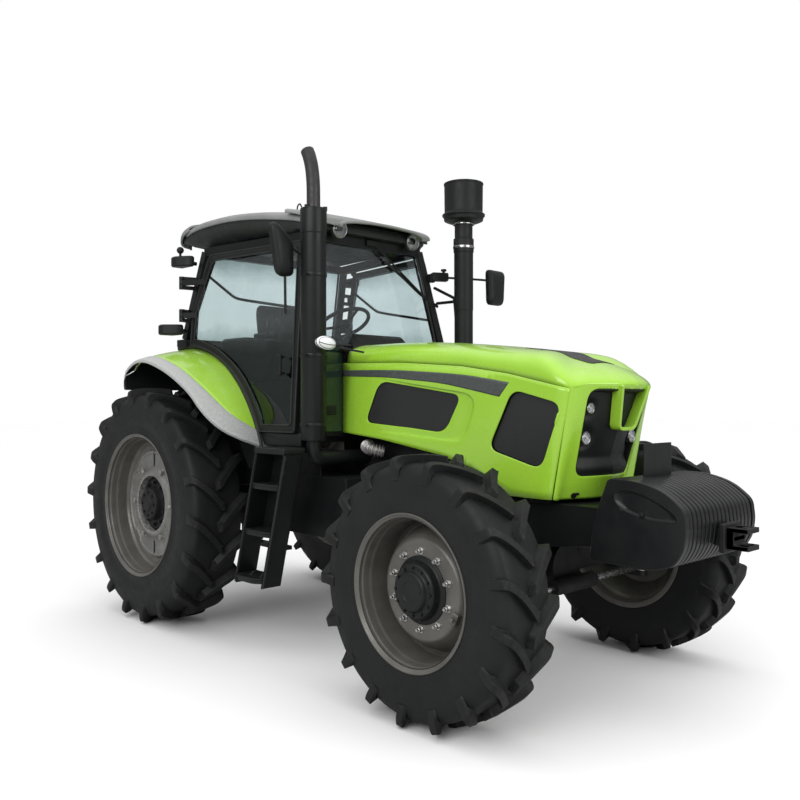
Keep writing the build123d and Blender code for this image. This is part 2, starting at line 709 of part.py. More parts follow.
def rear_lamps():
    """Left pair of lamp housings behind the door, with the bar between them, on brackets from the rear post."""
    high, low = door_top - 45, sill_height + 115
    foot, top = post_line(rear_post)
    shape = rod((30, 850, low), (30, 850, high), 13)
    for z, x0, x1, y0, y1 in ((high, 60, 225, 770, 880), (low, -30, 120, 800, 935)):
        head = plan([(x0, y0 + 10), (x0, y1), (x0 + 60, y1), (x1, y0 + 45), (x1, y0)], z - 38, z + 38)
        share = (z - foot[2]) / (top[2] - foot[2])
        x, y = foot[0] + share * (top[0] - foot[0]), foot[1] + share * (top[1] - foot[1])
        bracket = plan([(x - 16, y), (x + 16, y), (x0 + 50, y0 + 30), (x0 + 14, y0 + 30)], z - 14, z + 14)
        shape = shape + head + bracket
        shape = shape + plan([(18, 838), (42, 838), (x0 + 60, y1 - 30), (x0 + 60, y1 - 10), (18, 862)], z - 12, z + 12)
    return shape - beam(foot, top, post + 2 * seat_gap, post + 2 * seat_gap)


def mirrors():
    """Mirror heads on arms from the front posts."""
    (x0, y0, z0), (x1, y1, z1) = post_line([front_post[1], front_post[2]])
    share = (mirror_height - z0) / (z1 - z0)
    x, y = x0 + share * (x1 - x0), y0 + share * (y1 - y0)
    heads = []
    # side, place of the head's middle, its outline outwards and up
    kinds = [(1, 1580, 1000, mirror_height - 55, [(-88, -130), (78, -130), (95, 130), (-95, 130)]),
             (-1, 1430, 860, mirror_height + 25, [(-84, -160), (34, -160), (86, 165), (-40, 118), (-78, 60)])]
    for side, mx, my, mz, outline in kinds:
        foot = block(x, x + post / 2 + 24, y - 20, y + 20, mirror_height - 30, mirror_height + 30)
        foot = foot - beam((x0, y0, z0), (x1, y1, z1), post + 2 * seat_gap, post + 2 * seat_gap)
        knee = (x + post / 2 + 30, y + 8, mirror_height)
        arm = rod((x + post / 2 + 6, y, mirror_height), knee, 12) + rod(knee, (mx, my - 50, mirror_height), 10)
        head = cross([(my + out, mz + up) for out, up in outline], mx - 20, mx + 30, radius=18)
        piece = foot + arm + head
        heads.append(piece if side > 0 else other_side(piece))
    return group(*heads)


def windscreen():
    """Front pane between the posts."""
    (x0, y0, z0), (x1, y1, z1) = post_line([front_post[1], front_post[2]])
    low, high = cowl_top + seat_gap, z1 - post / 2 - seat_gap

    def on_line(z):
        share = (z - z0) / (z1 - z0)
        return x0 + share * (x1 - x0), y0 + share * (y1 - y0) - post / 2 - 6
    (xa, ya), (xb, yb) = on_line(low), on_line(high)
    sheet = slab([(xa, low), (xb, high), (xb + glass_thick, high), (xa + glass_thick, low)], -800, 800)
    return sheet & cross([(-ya, low), (ya, low), (yb, high), (-yb, high)], 1000, 1600)


def rear_window():
    """Rear pane and the narrow panes behind the doors."""
    (x0, y0, z0), (x1, y1, z1) = post_line(rear_post)
    low, high = sill_height + 52 + seat_gap, z1 - post / 2 - seat_gap
    share = (high - z0) / (z1 - z0)
    xb, yb = x0 + share * (x1 - x0), y0 + share * (y1 - y0) - post / 2 - 2
    ya = y0 - post / 2 - 2
    sheet = slab([(x0, low), (xb, high), (xb + glass_thick, high), (x0 + glass_thick, low)], -900, 900)
    return sheet & cross([(-ya, low), (ya, low), (yb, high), (-yb, high)], -400, 600)


def fender():
    """Left fender: a sheet lofted from its inner to its outer edge, and the wall beside the tyre."""
    z0, skin = rear_wheel.radius, 8.0

    def on_arc(degrees_up, r):
        return r * cos(radians(degrees_up)), z0 + r * sin(radians(degrees_up))
    inner = [on_arc(t, fender_arc) for t in (100, 80, 60, 41, 22.5)]
    outer = [(-230, 1818), (-20, 1908), (190, 1932), (690, 1648), (1062, 1290)]
    faces = []
    for y, points in ((fender_side, inner), (fender_outer, outer)):
        under = []
        for x, z in points:
            r = hypot(x, z - z0)
            under.append((x * (r - skin) / r, z0 + (z - z0) * (r - skin) / r))
        p = [(x, y, z) for x, z in points]
        q = [(x, y, z) for x, z in under]
        faces.append(Face(Wire([ThreePointArc(p[0], p[1], p[2]), ThreePointArc(p[2], p[3], p[4]), Line(p[4], q[4]),
                                ThreePointArc(q[4], q[3], q[2]), ThreePointArc(q[2], q[1], q[0]), Line(q[0], p[0])])))
    sheet = loft(faces, ruled=True)
    r = fender_arc - skin / 2
    arc = [(r * cos(radians(t)), fender_side, z0 + r * sin(radians(t))) for t in (22.5, 60, 100)]
    low = [(-180, fender_side, 1700), (560, fender_side, 1700), (700, fender_side, floor_low),
           (1055, fender_side, floor_low - 60)]
    wall = Face(Wire([ThreePointArc(*arc), Line(arc[2], low[0]), Line(low[0], low[1]), Line(low[1], low[2]),
                      Line(low[2], low[3]), Line(low[3], arc[0])]))
    return sheet, extrude(wall, amount=skin, dir=(0, 1, 0))


def steps():
    """Left ladder: two leaning side plates, a back panel and three treads, hung from the floor."""
    low, high, t = 420.0, 1262.0, 10.0
    rear_low, front_low, lean = 1035.0, 1320.0, 235.0
    y_back, y_plate, y_tread = 800.0, 945.0, 960.0

    def leaning(x, z):
        return x + lean * (z - low) / (high - low)
    shape = None
    for x in (rear_low, front_low):
        plate = slab([(x, low), (x + t, low), (x + lean + t, high), (x + lean, high)], y_back, y_plate)
        shape = plate if shape is None else shape + plate
    panel_low = 760
    back = slab([(leaning(rear_low, panel_low), panel_low), (leaning(front_low, panel_low) + t, panel_low),
                 (front_low + lean + t, high), (rear_low + lean, high)], y_back, y_back + 8)
    shape = shape + back
    for z in (450, 745, 1040):
        x0, x1 = leaning(rear_low, z), leaning(front_low, z) + t
        nose = y_tread + (24 if z == 450 else 0)
        shape = shape + plan([(x0, y_back), (x1, y_back), (x1, y_tread - 20), (x1 - 40, nose), (x0 + 40, nose),
                              (x0, y_tread - 20)], z, z + 34)
    top_rear, stack_side = rear_low + lean - 20, stack[0] - 65
    top = block(top_rear, front_low + lean + t, y_back - 15, y_plate, high, high + 38)
    inner = block(top_rear, stack_side, floor_half - 60, y_back, high, high + 38)
    hanger = block(top_rear, foot_rear - running_gap, floor_half - 60, floor_half - 30, high + 38, floor_low)
    return shape + top + inner + hanger


def fuel_tank():
    """Tank on the left of the gearbox."""
    return cross([(gearbox_half, 700), (620, 700), (620, 1180), (gearbox_half, 1180)], 700, 1480, radius=0)


def battery_box():
    """Battery and tool box on the right."""
    return block(1060, 1760, -620, -gearbox_half - 20, 730, 1110) + block(1100, 1400, -gearbox_half - 20, -gearbox_half, 800, 1000)


def exhaust_stack():
    """Shrouded stack beside the front post, with an elbow to the engine."""
    x, y = stack
    shroud = rod((x, y, 1345), (x, y, shroud_top), stack_radius)
    tip = tube_path([(x, y, shroud_top), (x, y, overall_height - 200), (x - 50, y, overall_height - 25)], pipe_radius, 200)
    elbow = tube_path([(x, y, 1345), (x, y, 1230), (x, -engine_half, 1230)], 45, 70)
    bracket = block(cab_front, x, -650, -530, 1500, 1560)
    return shroud + tip + elbow + bracket


def air_intake():
    """Intake pipe with its pre-cleaner drum."""
    x, y = intake
    pipe = rod((x, y, 1420), (x, y, drum_low + 5), intake_radius)
    side, lip, top = drum_radius, drum_low + 40, overall_height - 4
    drum = revolve(make_face(Polyline((x, y, drum_low), (x + side, y, drum_low), (x + side + 15, y, lip),
                                      (x + side + 15, y, lip + 15), (x + side, y, lip + 20), (x + side, y, top),
                                      (x, y, top), close=True)), axis=Axis((x, y, 0), (0, 0, 1)))
    elbow = tube_path([(x, y, 1420), (x, y, 1300), (x, engine_half, 1300)], 55, 70)
    bracket = block(cab_front, x, 530, y - 30, 1500, 1560)
    return pipe + drum + elbow + bracket


def seat():
    """Seat on its pedestal."""
    pedestal = block(330, 560, -150, 150, deck + wall_thick, 1800)
    cushion = slab([(270, 1800), (720, 1800), (720, 1900), (270, 1890)], -240, 240, radius=20)
    back = slab([(270, 1890), (400, 1890), (330, 2420), (250, 2420)], -220, 220, radius=20)
    return pedestal + cushion + back


def console():
    """Dash, steering column and steering wheel."""
    base = floor_low + wall_thick
    dash = slab([(1220, base), (cab_front - wall_thick, base), (cab_front - wall_thick, 1850), (1330, 1895),
                 (1220, 1895)], -240, 240)
    centre = Vector(1070, 0, 2080)
    column = rod((1260, 0, 1890), centre, 28)
    ring = faceted_ring([(-12, 178), (-12, 200), (0, 206), (12, 200), (12, 178), (0, 172)], 24)
    spokes = Box(360, 12, 26) + Box(26, 12, 360)
    return dash + column + Pos(centre) * Rot(0, -45, 0) * Rot(90, 0, 0) * (ring + spokes)


# ---- front weights ----
def weight_outline(inset):
    """Side of one suitcase weight."""
    rear, front = weight_rear + inset, weight_front - inset
    return [(rear + 30, 1185 - inset), (rear + 190, 1205 - inset), (front - 128, 1165 - inset), (front - 18, 1085 - inset),
            (front, 1000), (front - 18, 880 + inset), (front - 128, 800 + inset), (rear + 150, 780 + inset),
            (rear, 812 + inset)]


def front_weights():
    """Pack of plates held side by side, notched for the tow bar, with an oval hollow in each cheek."""
    core = slab(weight_outline(9), -weight_half + 2, weight_half - 2)
    pitch = 2 * weight_half / weight_plates
    pack = core
    for i in range(weight_plates):
        low = -weight_half + i * pitch
        pack = pack + slab(weight_outline(0), low, low + pitch - 8)
    pack = pack - block(weight_rear - 100, weight_front + 100, -58, 58, tow_height - tow_bar - 6, tow_height + tow_bar + seat_gap)
    hollow = Plane(origin=(weight_front - 228, -weight_half, 1082), z_dir=(0, 1, 0)) * Rot(0, 0, 14) * Ellipse(150, 40)
    hollow = extrude(hollow, amount=12, dir=(0, 1, 0))
    return pack - hollow - other_side(Pos(0, 8, 0) * hollow)


def weight_carrier():
    """Carrier on the bolster, and the tow bar with its jaw."""
    mount_front, jaw_rear, jaw_half = bolster_front + 46, front_reach - 120, 60.0
    mount = block(bolster_front, mount_front, -240, 240, bolster_low + 60, rail_top)
    bar = block(mount_front, jaw_rear + 20, -52, 52, tow_height - tow_bar, tow_height + tow_bar)
    gap, plate = 29.0, 24.0
    jaw = slab([(jaw_rear, tow_height - gap - plate), (front_reach, tow_height - gap - plate),
                (front_reach, tow_height - gap), (front_reach - 70, tow_height - gap),
                (front_reach - 70, tow_height + gap), (front_reach, tow_height + gap),
                (front_reach, tow_height + gap + plate), (jaw_rear, tow_height + gap + plate)], -jaw_half, jaw_half)
    x = front_reach - 35
    pin = rod((x, 0, tow_height - 65), (x, 0, tow_height + 65), tow_pin_radius)
    return mount + bar + jaw - pin


def plate_bracket():
    """Blank plate that stands on the weights."""
    x = weight_rear + 88
    plate = block(x, x + 6, -135, 135, 1150, 1372) + block(x - 26, x, -90, 90, 1150, 1222)
    return plate - slab(weight_outline(-seat_gap), -weight_half - 10, weight_half + 10)


# ---- hitch ----
def drawbar():
    """Drawbar under the axle and the power take-off shaft behind it."""
    bar = block(drawbar_reach, 300, -45, 45, 420, 452)
    hanger = block(-260, -120, -60, 60, 452, gearbox_low)
    hole = rod((drawbar_reach + 45, 0, 400), (drawbar_reach + 45, 0, 470), 16.5)
    return bar + hanger - hole


def power_shaft():
    """Power take-off stub."""
    return rod((gearbox_rear, 0, 760), (gearbox_rear - 95, 0, 760), 17.5)


def lower_links():
    """Both lower links, with the ball ends behind and a pin for the lift rod."""
    x, y, z = link_pivot
    end = x - link_length
    bar = block(end + 50, x - 40, y - 16, y + 16, z - 32, z + 32)
    rear_eye = rod((end, y - 22, z), (end, y + 22, z), 52)
    front_eye = rod((x, y - 22, z), (x, y + 22, z), 44)
    shape = bar + rear_eye + front_eye
    shape = shape - rod((end, y - 40, z), (end, y + 40, z), ball_radius)
    shape = shape - rod((x, y - 40, z), (x, y + 40, z), 18 + pin_gap)
    pin_x = x - arm_length
    return shape + rod((pin_x, y + 10, z), (pin_x, y + 64, z), 14)


def link_carrier():
    """Pins on the axle casting that the lower links turn on."""
    x, y, z = link_pivot
    pin = rod((x, gearbox_half + 8, z), (x, y + 34, z), 18)
    ear = slab([(x - 45, z - 45), (x + 45, z - 45), (x + 60, 760), (x - 60, 760)], gearbox_half, gearbox_half + 30)
    return ear + pin


def rockshaft():
    """Cross shaft with its two lift arms."""
    x, z = arm_pivot
    y = link_pivot[1] + 30
    shaft = rod((x, -y, z), (x, y, z), rockshaft_radius)
    for side in (1, -1):
        arm = block(x - arm_length, x, *sorted((side * (y - 24), side * y)), z - 30, z + 30)
        eye = rod((x - arm_length, side * (y - 24), z), (x - arm_length, side * y, z), 34)
        pin = rod((x - arm_length, side * y, z), (x - arm_length, side * (y + 34), z), 14)
        shaft = shaft + arm + eye + pin
    return shaft


def lift_rods():
    """Rods from the lift arms down to the lower links; their lower eyes are left open."""
    x, z = arm_pivot[0] - arm_length, arm_pivot[1]
    low_x, low_z = link_pivot[0] - arm_length, link_pivot[2]
    y = link_pivot[1] + 36
    shape = rod((x, y + 12, z), (low_x, y + 12, low_z), 12)
    for eye_x, eye_z in ((x, z), (low_x, low_z)):
        shape = shape + rod((eye_x, y, eye_z), (eye_x, y + 24, eye_z), 38)
    shape = shape - rod((x, y - 1, z), (x, y + 25, z), 14 + pin_gap)
    return shape - rod((low_x, y - 1, low_z), (low_x, y + 25, low_z), 14 + rod_eye_gap)


def top_link():
    """Top link stowed upwards behind the cab."""
    x, z = gearbox_rear - 60, 960
    tilt = radians(top_link_tilt)
    end = (x - top_link_length * cos(tilt), 0, z + top_link_length * sin(tilt))
    bar = rod((x, 0, z), end, 19)
    shape = bar
    for p, r in (((x, 0, z), 13 + pin_gap), (end, 16.0)):
        eye = rod((p[0], -22, p[2]), (p[0], 22, p[2]), 38)
        shape = shape + eye
    for p, r in (((x, 0, z), 13 + pin_gap), (end, 16.0)):
        shape = shape - rod((p[0], -30, p[2]), (p[0], 30, p[2]), r)
    return shape


def top_link_ears():
    """Ears on the casting that hold the top link's pin."""
    x, z = gearbox_rear - 60, 960
    ears = None
    for side in (1, -1):
        ear = slab([(gearbox_rear, z - 60), (gearbox_rear, z + 60), (x - 30, z + 30), (x - 30, z - 30)],
                   *sorted((side * 28, side * 48)))
        ears = ear if ears is None else ears + ear
    return ears + rod((x, -48, z), (x, 48, z), 13)


parts["gearbox"] = gearbox() + link_carrier() + other_side(link_carrier()) + top_link_ears()
parts["engine_block"] = engine()
parts["front_frame"] = front_frame()
parts["front_axle"] = front_axle()
parts["drive_shaft"] = drive_shaft()
parts["steering_rod"] = steering_rod()
rear_tyre, front_tyre = tyre(rear_wheel), tyre(front_wheel)
for name, side in (("left", 1), ("right", -1)):
    parts["knuckle_" + name] = knuckle(side)
    parts["rear_tyre_" + name] = place_wheel(rear_tyre, rear_wheel, side)
    parts["front_tyre_" + name] = place_wheel(front_tyre, front_wheel, side)
    parts["rear_rim_" + name] = place_wheel(rear_rim(), rear_wheel, side)
    parts["front_rim_" + name] = place_wheel(front_rim(), front_wheel, side)
parts["hood_lid"] = hood_lid()
parts["side_panels"] = both(side_panel())
parts["side_screens"] = both(side_screens())
parts["grille"] = grille()
parts["headlamps"] = headlamps()
parts["cab_floor"] = cab_floor() + hood_hinge_ears() + other_side(hood_hinge_ears())
parts["cab_frame"] = cab_frame()
parts["roof_cap"] = roof_cap()
parts["roof_fascia"] = roof_fascia()
parts["work_lamps"] = work_lamps()
parts["rear_lamps"] = both(rear_lamps())
parts["mirrors"] = mirrors()
parts["windscreen"] = windscreen()
parts["rear_window"] = rear_window()
for name, way in (("left", lambda s: s), ("right", other_side)):
    parts["door_" + name] = way(door())
    parts["door_glass_" + name] = way(door_glass())
sheet, wall = fender()
seam_end = fender_seam[-1][1]
inside = plan([(x, y) for y, x in fender_seam] + [(-400, fender_side)], 1000, 2200)
whole = plan([(x, y) for y, x in fender_edge] + [(-400, fender_side)], 1000, 2200)
cut_away = plan([(x + seat_gap, y + seat_gap) for y, x in fender_seam]
                + [(seam_end + seat_gap, fender_side - 10), (-410, fender_side - 10)], 1000, 2200)
wall = wall & block(-400, seam_end - 4, fender_side - 10, fender_side + 20, 1000, 2200)
parts["fenders"] = both((sheet & inside) + wall)
parts["fender_bands"] = both((sheet & whole) - cut_away)
parts["steps"] = both(steps())
parts["fuel_tank"] = fuel_tank()
parts["battery_box"] = battery_box()
parts["exhaust_stack"] = exhaust_stack()
parts["air_intake"] = air_intake()
parts["seat"] = seat()
parts["console"] = console()
parts["front_weights"] = front_weights()
parts["weight_carrier"] = weight_carrier()
parts["plate_bracket"] = plate_bracket()
parts["drawbar"] = drawbar()
parts["power_shaft"] = power_shaft()
parts["rockshaft"] = rockshaft()
parts["lift_rods"] = both(lift_rods())
parts["lower_links"] = both(lower_links())
parts["top_link"] = top_link()

# the handed-in frame has its origin on the ground, midway along the tractor
link_eye = 52.0
rear_reach = link_pivot[0] - link_length - link_eye
middle = (front_reach + rear_reach) / 2
os.makedirs("parts", exist_ok=True)
for name, shape in parts.items():
    placed = [Pos(-middle, 0, 0) * solid for solid in shape.solids()]
    export_step(placed[0] if len(placed) == 1 else Compound(children=placed), "parts/" + name + ".step")
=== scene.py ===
import json
import math
import bpy
import bmesh
import numpy as np
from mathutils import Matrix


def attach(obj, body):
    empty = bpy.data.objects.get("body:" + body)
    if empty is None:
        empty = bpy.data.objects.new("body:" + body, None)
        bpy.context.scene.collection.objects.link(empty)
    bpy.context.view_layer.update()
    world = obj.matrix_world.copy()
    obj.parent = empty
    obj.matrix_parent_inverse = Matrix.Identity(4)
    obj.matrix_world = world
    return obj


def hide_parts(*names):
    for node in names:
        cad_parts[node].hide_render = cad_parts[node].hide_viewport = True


# Farm tractor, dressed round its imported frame. Everything below is laid out in metres, X forward from the
# rear axle, Y to the left, Z up, and moved to the frame's own origin when a mesh is made.
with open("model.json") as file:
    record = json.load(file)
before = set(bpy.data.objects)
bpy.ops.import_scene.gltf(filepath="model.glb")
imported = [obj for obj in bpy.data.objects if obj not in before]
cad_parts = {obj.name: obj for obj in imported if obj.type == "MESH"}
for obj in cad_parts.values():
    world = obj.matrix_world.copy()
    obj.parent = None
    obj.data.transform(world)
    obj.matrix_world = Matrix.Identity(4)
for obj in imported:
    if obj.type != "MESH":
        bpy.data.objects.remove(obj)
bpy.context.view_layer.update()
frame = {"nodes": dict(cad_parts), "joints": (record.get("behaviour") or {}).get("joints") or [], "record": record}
nodes, record = frame["nodes"], frame["record"]
jointAt = {j["name"]: np.array(j.get("pos_m") or (0, 0, 0)) for j in frame["joints"]}
axleX = jointAt["rear_wheel_left_spin"][0]
print("frame loaded,", len(nodes), "nodes")


# shapes: each is (points, list of face arrays)
# quads of a grid of points, rows by columns, closed round either way on request
def gridFaces(rows, cols, wrapRows=False, wrapCols=False):
    i = np.arange(rows if wrapRows else rows - 1)
    j = np.arange(cols if wrapCols else cols - 1)
    i, j = [a.ravel() for a in np.meshgrid(i, j, indexing="ij")]
    ahead, right = (i + 1) % rows, (j + 1) % cols
    return np.stack([i * cols + j, ahead * cols + j, ahead * cols + right, i * cols + right], 1)


# a grid of points (rows, columns, 3) as a shape
def gridShape(points, wrapRows=False, wrapCols=False):
    return points.reshape(-1, 3), [gridFaces(*points.shape[:2], wrapRows, wrapCols)]


# rings of points (rings, columns, 3) as a closed skin, with a flat face over its first and last ring
def cappedRings(points):
    shape, faces = gridShape(points, False, True)
    n, total = points.shape[1], len(shape)
    return shape, faces + [np.arange(n)[None], np.arange(total - n, total)[None, ::-1]]


# several shapes as one
def joined(*shapes):
    points, faces, start = [], [], 0
    for p, f in shapes:
        points.append(p)
        faces += [block + start for block in f]
        start += len(p)
    return np.concatenate(points), faces


# a shape on the tractor's other side: Y turned over, and its faces with it
def mirrored(shape):
    points, faces = shape
    return points * (1, -1, 1), [block[:, ::-1] for block in faces]


# a shape and its mirror image
def bothSides(shape):
    return joined(shape, mirrored(shape))


# a shape moved, after turns about X, Y and Z in degrees
def moved(shape, to=(0, 0, 0), turn=(0, 0, 0)):
    points, faces = shape
    for axis, angle in enumerate(np.radians(turn)):
        c, s = np.cos(angle), np.sin(angle)
        a, b = (axis + 1) % 3, (axis + 2) % 3
        pa, pb = points[:, a].copy(), points[:, b].copy()
        points = points.copy()
        points[:, a], points[:, b] = c * pa - s * pb, s * pa + c * pb
    return points + to, faces


# corners of a polygon rounded: each becomes a short curve that leaves its edges at the given distance
def filleted(points, reach, steps=5, closed=True):
    p = np.asarray(points, float)
    reach = np.broadcast_to(np.asarray(reach, float), len(p))[:, None]
    before, after = np.roll(p, 1, 0) - p, np.roll(p, -1, 0) - p
    lb, la = np.linalg.norm(before, axis=1)[:, None], np.linalg.norm(after, axis=1)[:, None]
    a = p + before / lb * np.minimum(reach, lb * 0.48)
    b = p + after / la * np.minimum(reach, la * 0.48)
    if not closed:
        a[0] = b[0] = p[0]
        a[-1] = b[-1] = p[-1]
    s = np.linspace(0, 1, steps)[None, :, None]
    curve = (1 - s) ** 2 * a[:, None] + 2 * s * (1 - s) * p[:, None] + s ** 2 * b[:, None]
    return curve.reshape(-1, p.shape[1])


# a polyline resampled to evenly spaced points
def evenly(points, count, closed=False):
    p = np.asarray(points, float)
    if closed:
        p = np.concatenate([p, p[:1]])
    run = np.concatenate([[0], np.cumsum(np.linalg.norm(np.diff(p, axis=0), axis=1))])
    at = np.linspace(0, run[-1], count, endpoint=not closed)
    return np.stack([np.interp(at, run, p[:, k]) for k in range(p.shape[1])], 1)


# a smooth line through points: cubic pieces whose slopes come from each point's neighbours
def smoothLine(points, count):
    p = np.asarray(points, float)
    q = np.concatenate([2 * p[:1] - p[1:2], p, 2 * p[-1:] - p[-2:-1]])
    t = np.linspace(0, len(p) - 1, count)
    i = np.minimum(t.astype(int), len(p) - 2)
    f = (t - i)[:, None]
    a, b, c, d = q[i], q[i + 1], q[i + 2], q[i + 3]
    bent = 2 * b + (c - a) * f + (2 * a - 5 * b + 4 * c - d) * f ** 2
    return 0.5 * (bent + (3 * b - a - 3 * c + d) * f ** 3)


# outline of (along the axis, radius) carried round an axis; a ring when the outline is closed
def lathe(outline, centre, axis=1, steps=64, closed=False):
    outline = np.asarray(outline, float)
    turn = np.linspace(0, 2 * np.pi, steps, endpoint=False)[:, None]
    points = np.zeros((steps, len(outline), 3))
    points[:, :, axis] = outline[:, 0]
    points[:, :, (axis + 1) % 3] = outline[:, 1] * np.cos(turn)
    points[:, :, (axis + 2) % 3] = outline[:, 1] * np.sin(turn)
    return gridShape(points + np.asarray(centre, float), True, closed)


# flat outline (n, 2) carried from low to high along an axis, its rims chamfered by edge
def prism(outline, low, high, axis=1, edge=0.002, reach=0.0):
    p = filleted(outline, reach) if reach else np.asarray(outline, float)
    area = np.sum(p[:, 0] * np.roll(p[:, 1], -1) - np.roll(p[:, 0], -1) * p[:, 1])
    way = np.roll(p, -1, 0) - np.roll(p, 1, 0)
    out = np.stack([way[:, 1], -way[:, 0]], 1) * np.sign(area)
    out /= np.maximum(np.linalg.norm(out, axis=1), 1e-9)[:, None]
    edge = min(edge, (high - low) / 3)
    rings = [(low, edge), (low + edge, 0), (high - edge, 0), (high, edge)]
    spare = [k for k in range(3) if k != axis]
    points = np.zeros((4, len(p), 3))
    for row, (along, inset) in enumerate(rings):
        points[row, :, axis] = along
        points[row][:, spare] = p - out * inset
    return cappedRings(points)


# rounded block between two corners
def brick(x0, x1, y0, y1, z0, z1, reach=0.006, edge=0.003):
    return prism([(x0, z0), (x1, z0), (x1, z1), (x0, z1)], y0, y1, 1, edge, reach)


# closed outline (m, 2) carried along a path (n, 3); up sets which way the outline's second axis leans
def carried(path, outline, up=(0, 0, 1), loop=False, caps=True):
    path, outline = np.asarray(path, float), np.asarray(outline, float)
    # a repeated point has no direction, so only the first of each stays
    path = path[np.append(True, np.linalg.norm(np.diff(path, axis=0), axis=1) > 1e-7)]
    way = np.roll(path, -1, 0) - np.roll(path, 1, 0) if loop else np.gradient(path, axis=0)
    way /= np.linalg.norm(way, axis=1)[:, None]
    side = np.cross(way, np.broadcast_to(np.asarray(up, float), path.shape))
    side /= np.maximum(np.linalg.norm(side, axis=1), 1e-9)[:, None]
    over = np.cross(side, way)
    if outline.ndim == 2:
        outline = np.broadcast_to(outline, (len(path),) + outline.shape)
    points = path[:, None] + side[:, None] * outline[..., :1] + over[:, None] * outline[..., 1:]
    shape, faces = gridShape(points, loop, True)
    n, m = points.shape[:2]
    if caps and not loop:
        faces = faces + [np.arange(m)[None, ::-1], np.arange((n - 1) * m, n * m)[None]]
    return shape, faces


# flat circle of points
def ring(radius, steps=14):
    turn = np.linspace(0, 2 * np.pi, steps, endpoint=False)
    return np.stack([radius * np.cos(turn), radius * np.sin(turn)], 1)


# round bar along a smooth line through a few points, or along straight runs with bends of a given reach
def pipe(points, radius, up=(0, 0, 1), bend=0.0):
    path = filleted(points, bend, 7, False) if bend else smoothLine(points, 24)
    return carried(path, ring(radius), up)


# straight round bar; its section leans on Z, or on X where the bar itself is steep
def bar(start, end, radius, steps=14):
    up = (0, 0, 1) if abs(start[2] - end[2]) < 0.8 * np.linalg.norm(np.subtract(end, start)) else (1, 0, 0)
    return carried(np.linspace(start, end, 2), ring(radius, steps), up)


# copies of a shape turned about an axis through a centre, spread over the given angles in degrees
def roundAbout(shape, centre, angles, axis=1):
    points, faces = shape
    turn = [0, 0, 0]
    copies = []
    for angle in angles:
        turn[axis] = angle
        copies.append(moved((points - centre, faces), centre, turn))
    return joined(*copies)


# hexagon head with its washer, standing along Y at a place
def hexBolt(x, y, z, radius, tall, side=1):
    turn = np.radians(np.arange(0, 360, 60) + 12)
    head = np.stack([x + radius * np.cos(turn), z + radius * np.sin(turn)], 1)
    low, high = sorted((y + side * 0.2 * tall, y + side * tall))
    washer = lathe([(y, 0), (y, radius * 1.35), (y + side * 0.2 * tall, radius * 1.35),
                    (y + side * 0.2 * tall, 0)], (x, 0, z), 1, 16)
    return joined(washer, prism(head, low, high, 1, radius * 0.12))


# bolts standing along Y on a circle about the same axis, spaced evenly from a first angle in degrees
def boltCircle(reach, y, radius, tall, count, first=0):
    return [hexBolt(reach * math.sin(a), y, reach * math.cos(a), radius, tall)
            for a in np.radians(first + 360 / count * np.arange(count))]


# finishes listed for the record's black_plastic slot, in a table that is built and not kept
dict.fromkeys(("blackPlastic", "screenSheet", "stripeFilm", "sealRubber", "fasciaPlastic",
                             "cowlGlass", "mirrorGlass"), "black_plastic")


# mesh object from a shape: doubles merged, faces turned outwards on closed shapes, joined to its body
def makePiece(name, shape, kind, body="chassis", crease=35, wall=0.0, hides=(), inner=None):
    points, faces = shape
    mesh = bpy.data.meshes.new(name)
    rows = [row for block in faces for row in block.tolist()]
    mesh.from_pydata((points + (axleX, 0, 0)).tolist(), [], rows)
    work = bmesh.new()
    work.from_mesh(mesh)
    bmesh.ops.remove_doubles(work, verts=work.verts, dist=2e-5)
    bmesh.ops.dissolve_degenerate(work, dist=1e-6, edges=work.edges)
    bmesh.ops.recalc_face_normals(work, faces=work.faces)
    work.to_mesh(mesh)
    work.free()
    mesh.shade_smooth()
    mesh.set_sharp_from_angle(angle=math.radians(crease))
    mesh.materials.append(finish[kind])
    piece = bpy.data.objects.new(name, mesh)
    bpy.context.scene.collection.objects.link(piece)
    if wall:
        thick = piece.modifiers.new("wall", "SOLIDIFY")
        thick.thickness, thick.offset = wall, -1
        if inner:
            mesh.materials.append(finish[inner])
            thick.material_offset = 1
    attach(piece, body)
    if hides:
        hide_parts(*hides)
    return piece


# a CAD node keeps its shape and gets a finish; its edges are softened by modifiers
def dressNode(name, kind, soften=0.0):
    node = nodes[name]
    for place in node.material_slots:
        place.material = finish[kind]
    if not node.material_slots:
        node.data.materials.append(finish[kind])
    if soften:
        weld = node.modifiers.new("weld", "WELD")
        weld.merge_threshold = 0.0001
        bevel = node.modifiers.new("soften", "BEVEL")
        bevel.width, bevel.segments, bevel.limit_method = soften, 2, "ANGLE"
        bevel.angle_limit = math.radians(50)
        bevel.harden_normals = False


# shader node of a kind; values go to its sockets where it has one of that name, and to its settings
# otherwise
def addNode(tree, kind, **values):
    node = tree.nodes.new("ShaderNode" + kind)
    for key, value in values.items():
        if key in node.inputs:
            node.inputs[key].default_value = value
        else:
            setattr(node, key, value)
    return node


# noise of a size, stretched by the mapping's scale, in object space
def noiseOf(tree, scale, detail=4.0, stretch=(1, 1, 1)):
    place = addNode(tree, "TexCoord")
    mapping = addNode(tree, "Mapping")
    mapping.inputs["Scale"].default_value = stretch
    noise = addNode(tree, "TexNoise", Scale=scale, Detail=detail, Roughness=0.55)
    tree.links.new(place.outputs["Object"], mapping.inputs["Vector"])
    tree.links.new(mapping.outputs["Vector"], noise.inputs["Vector"])
    return noise.outputs["Fac"]


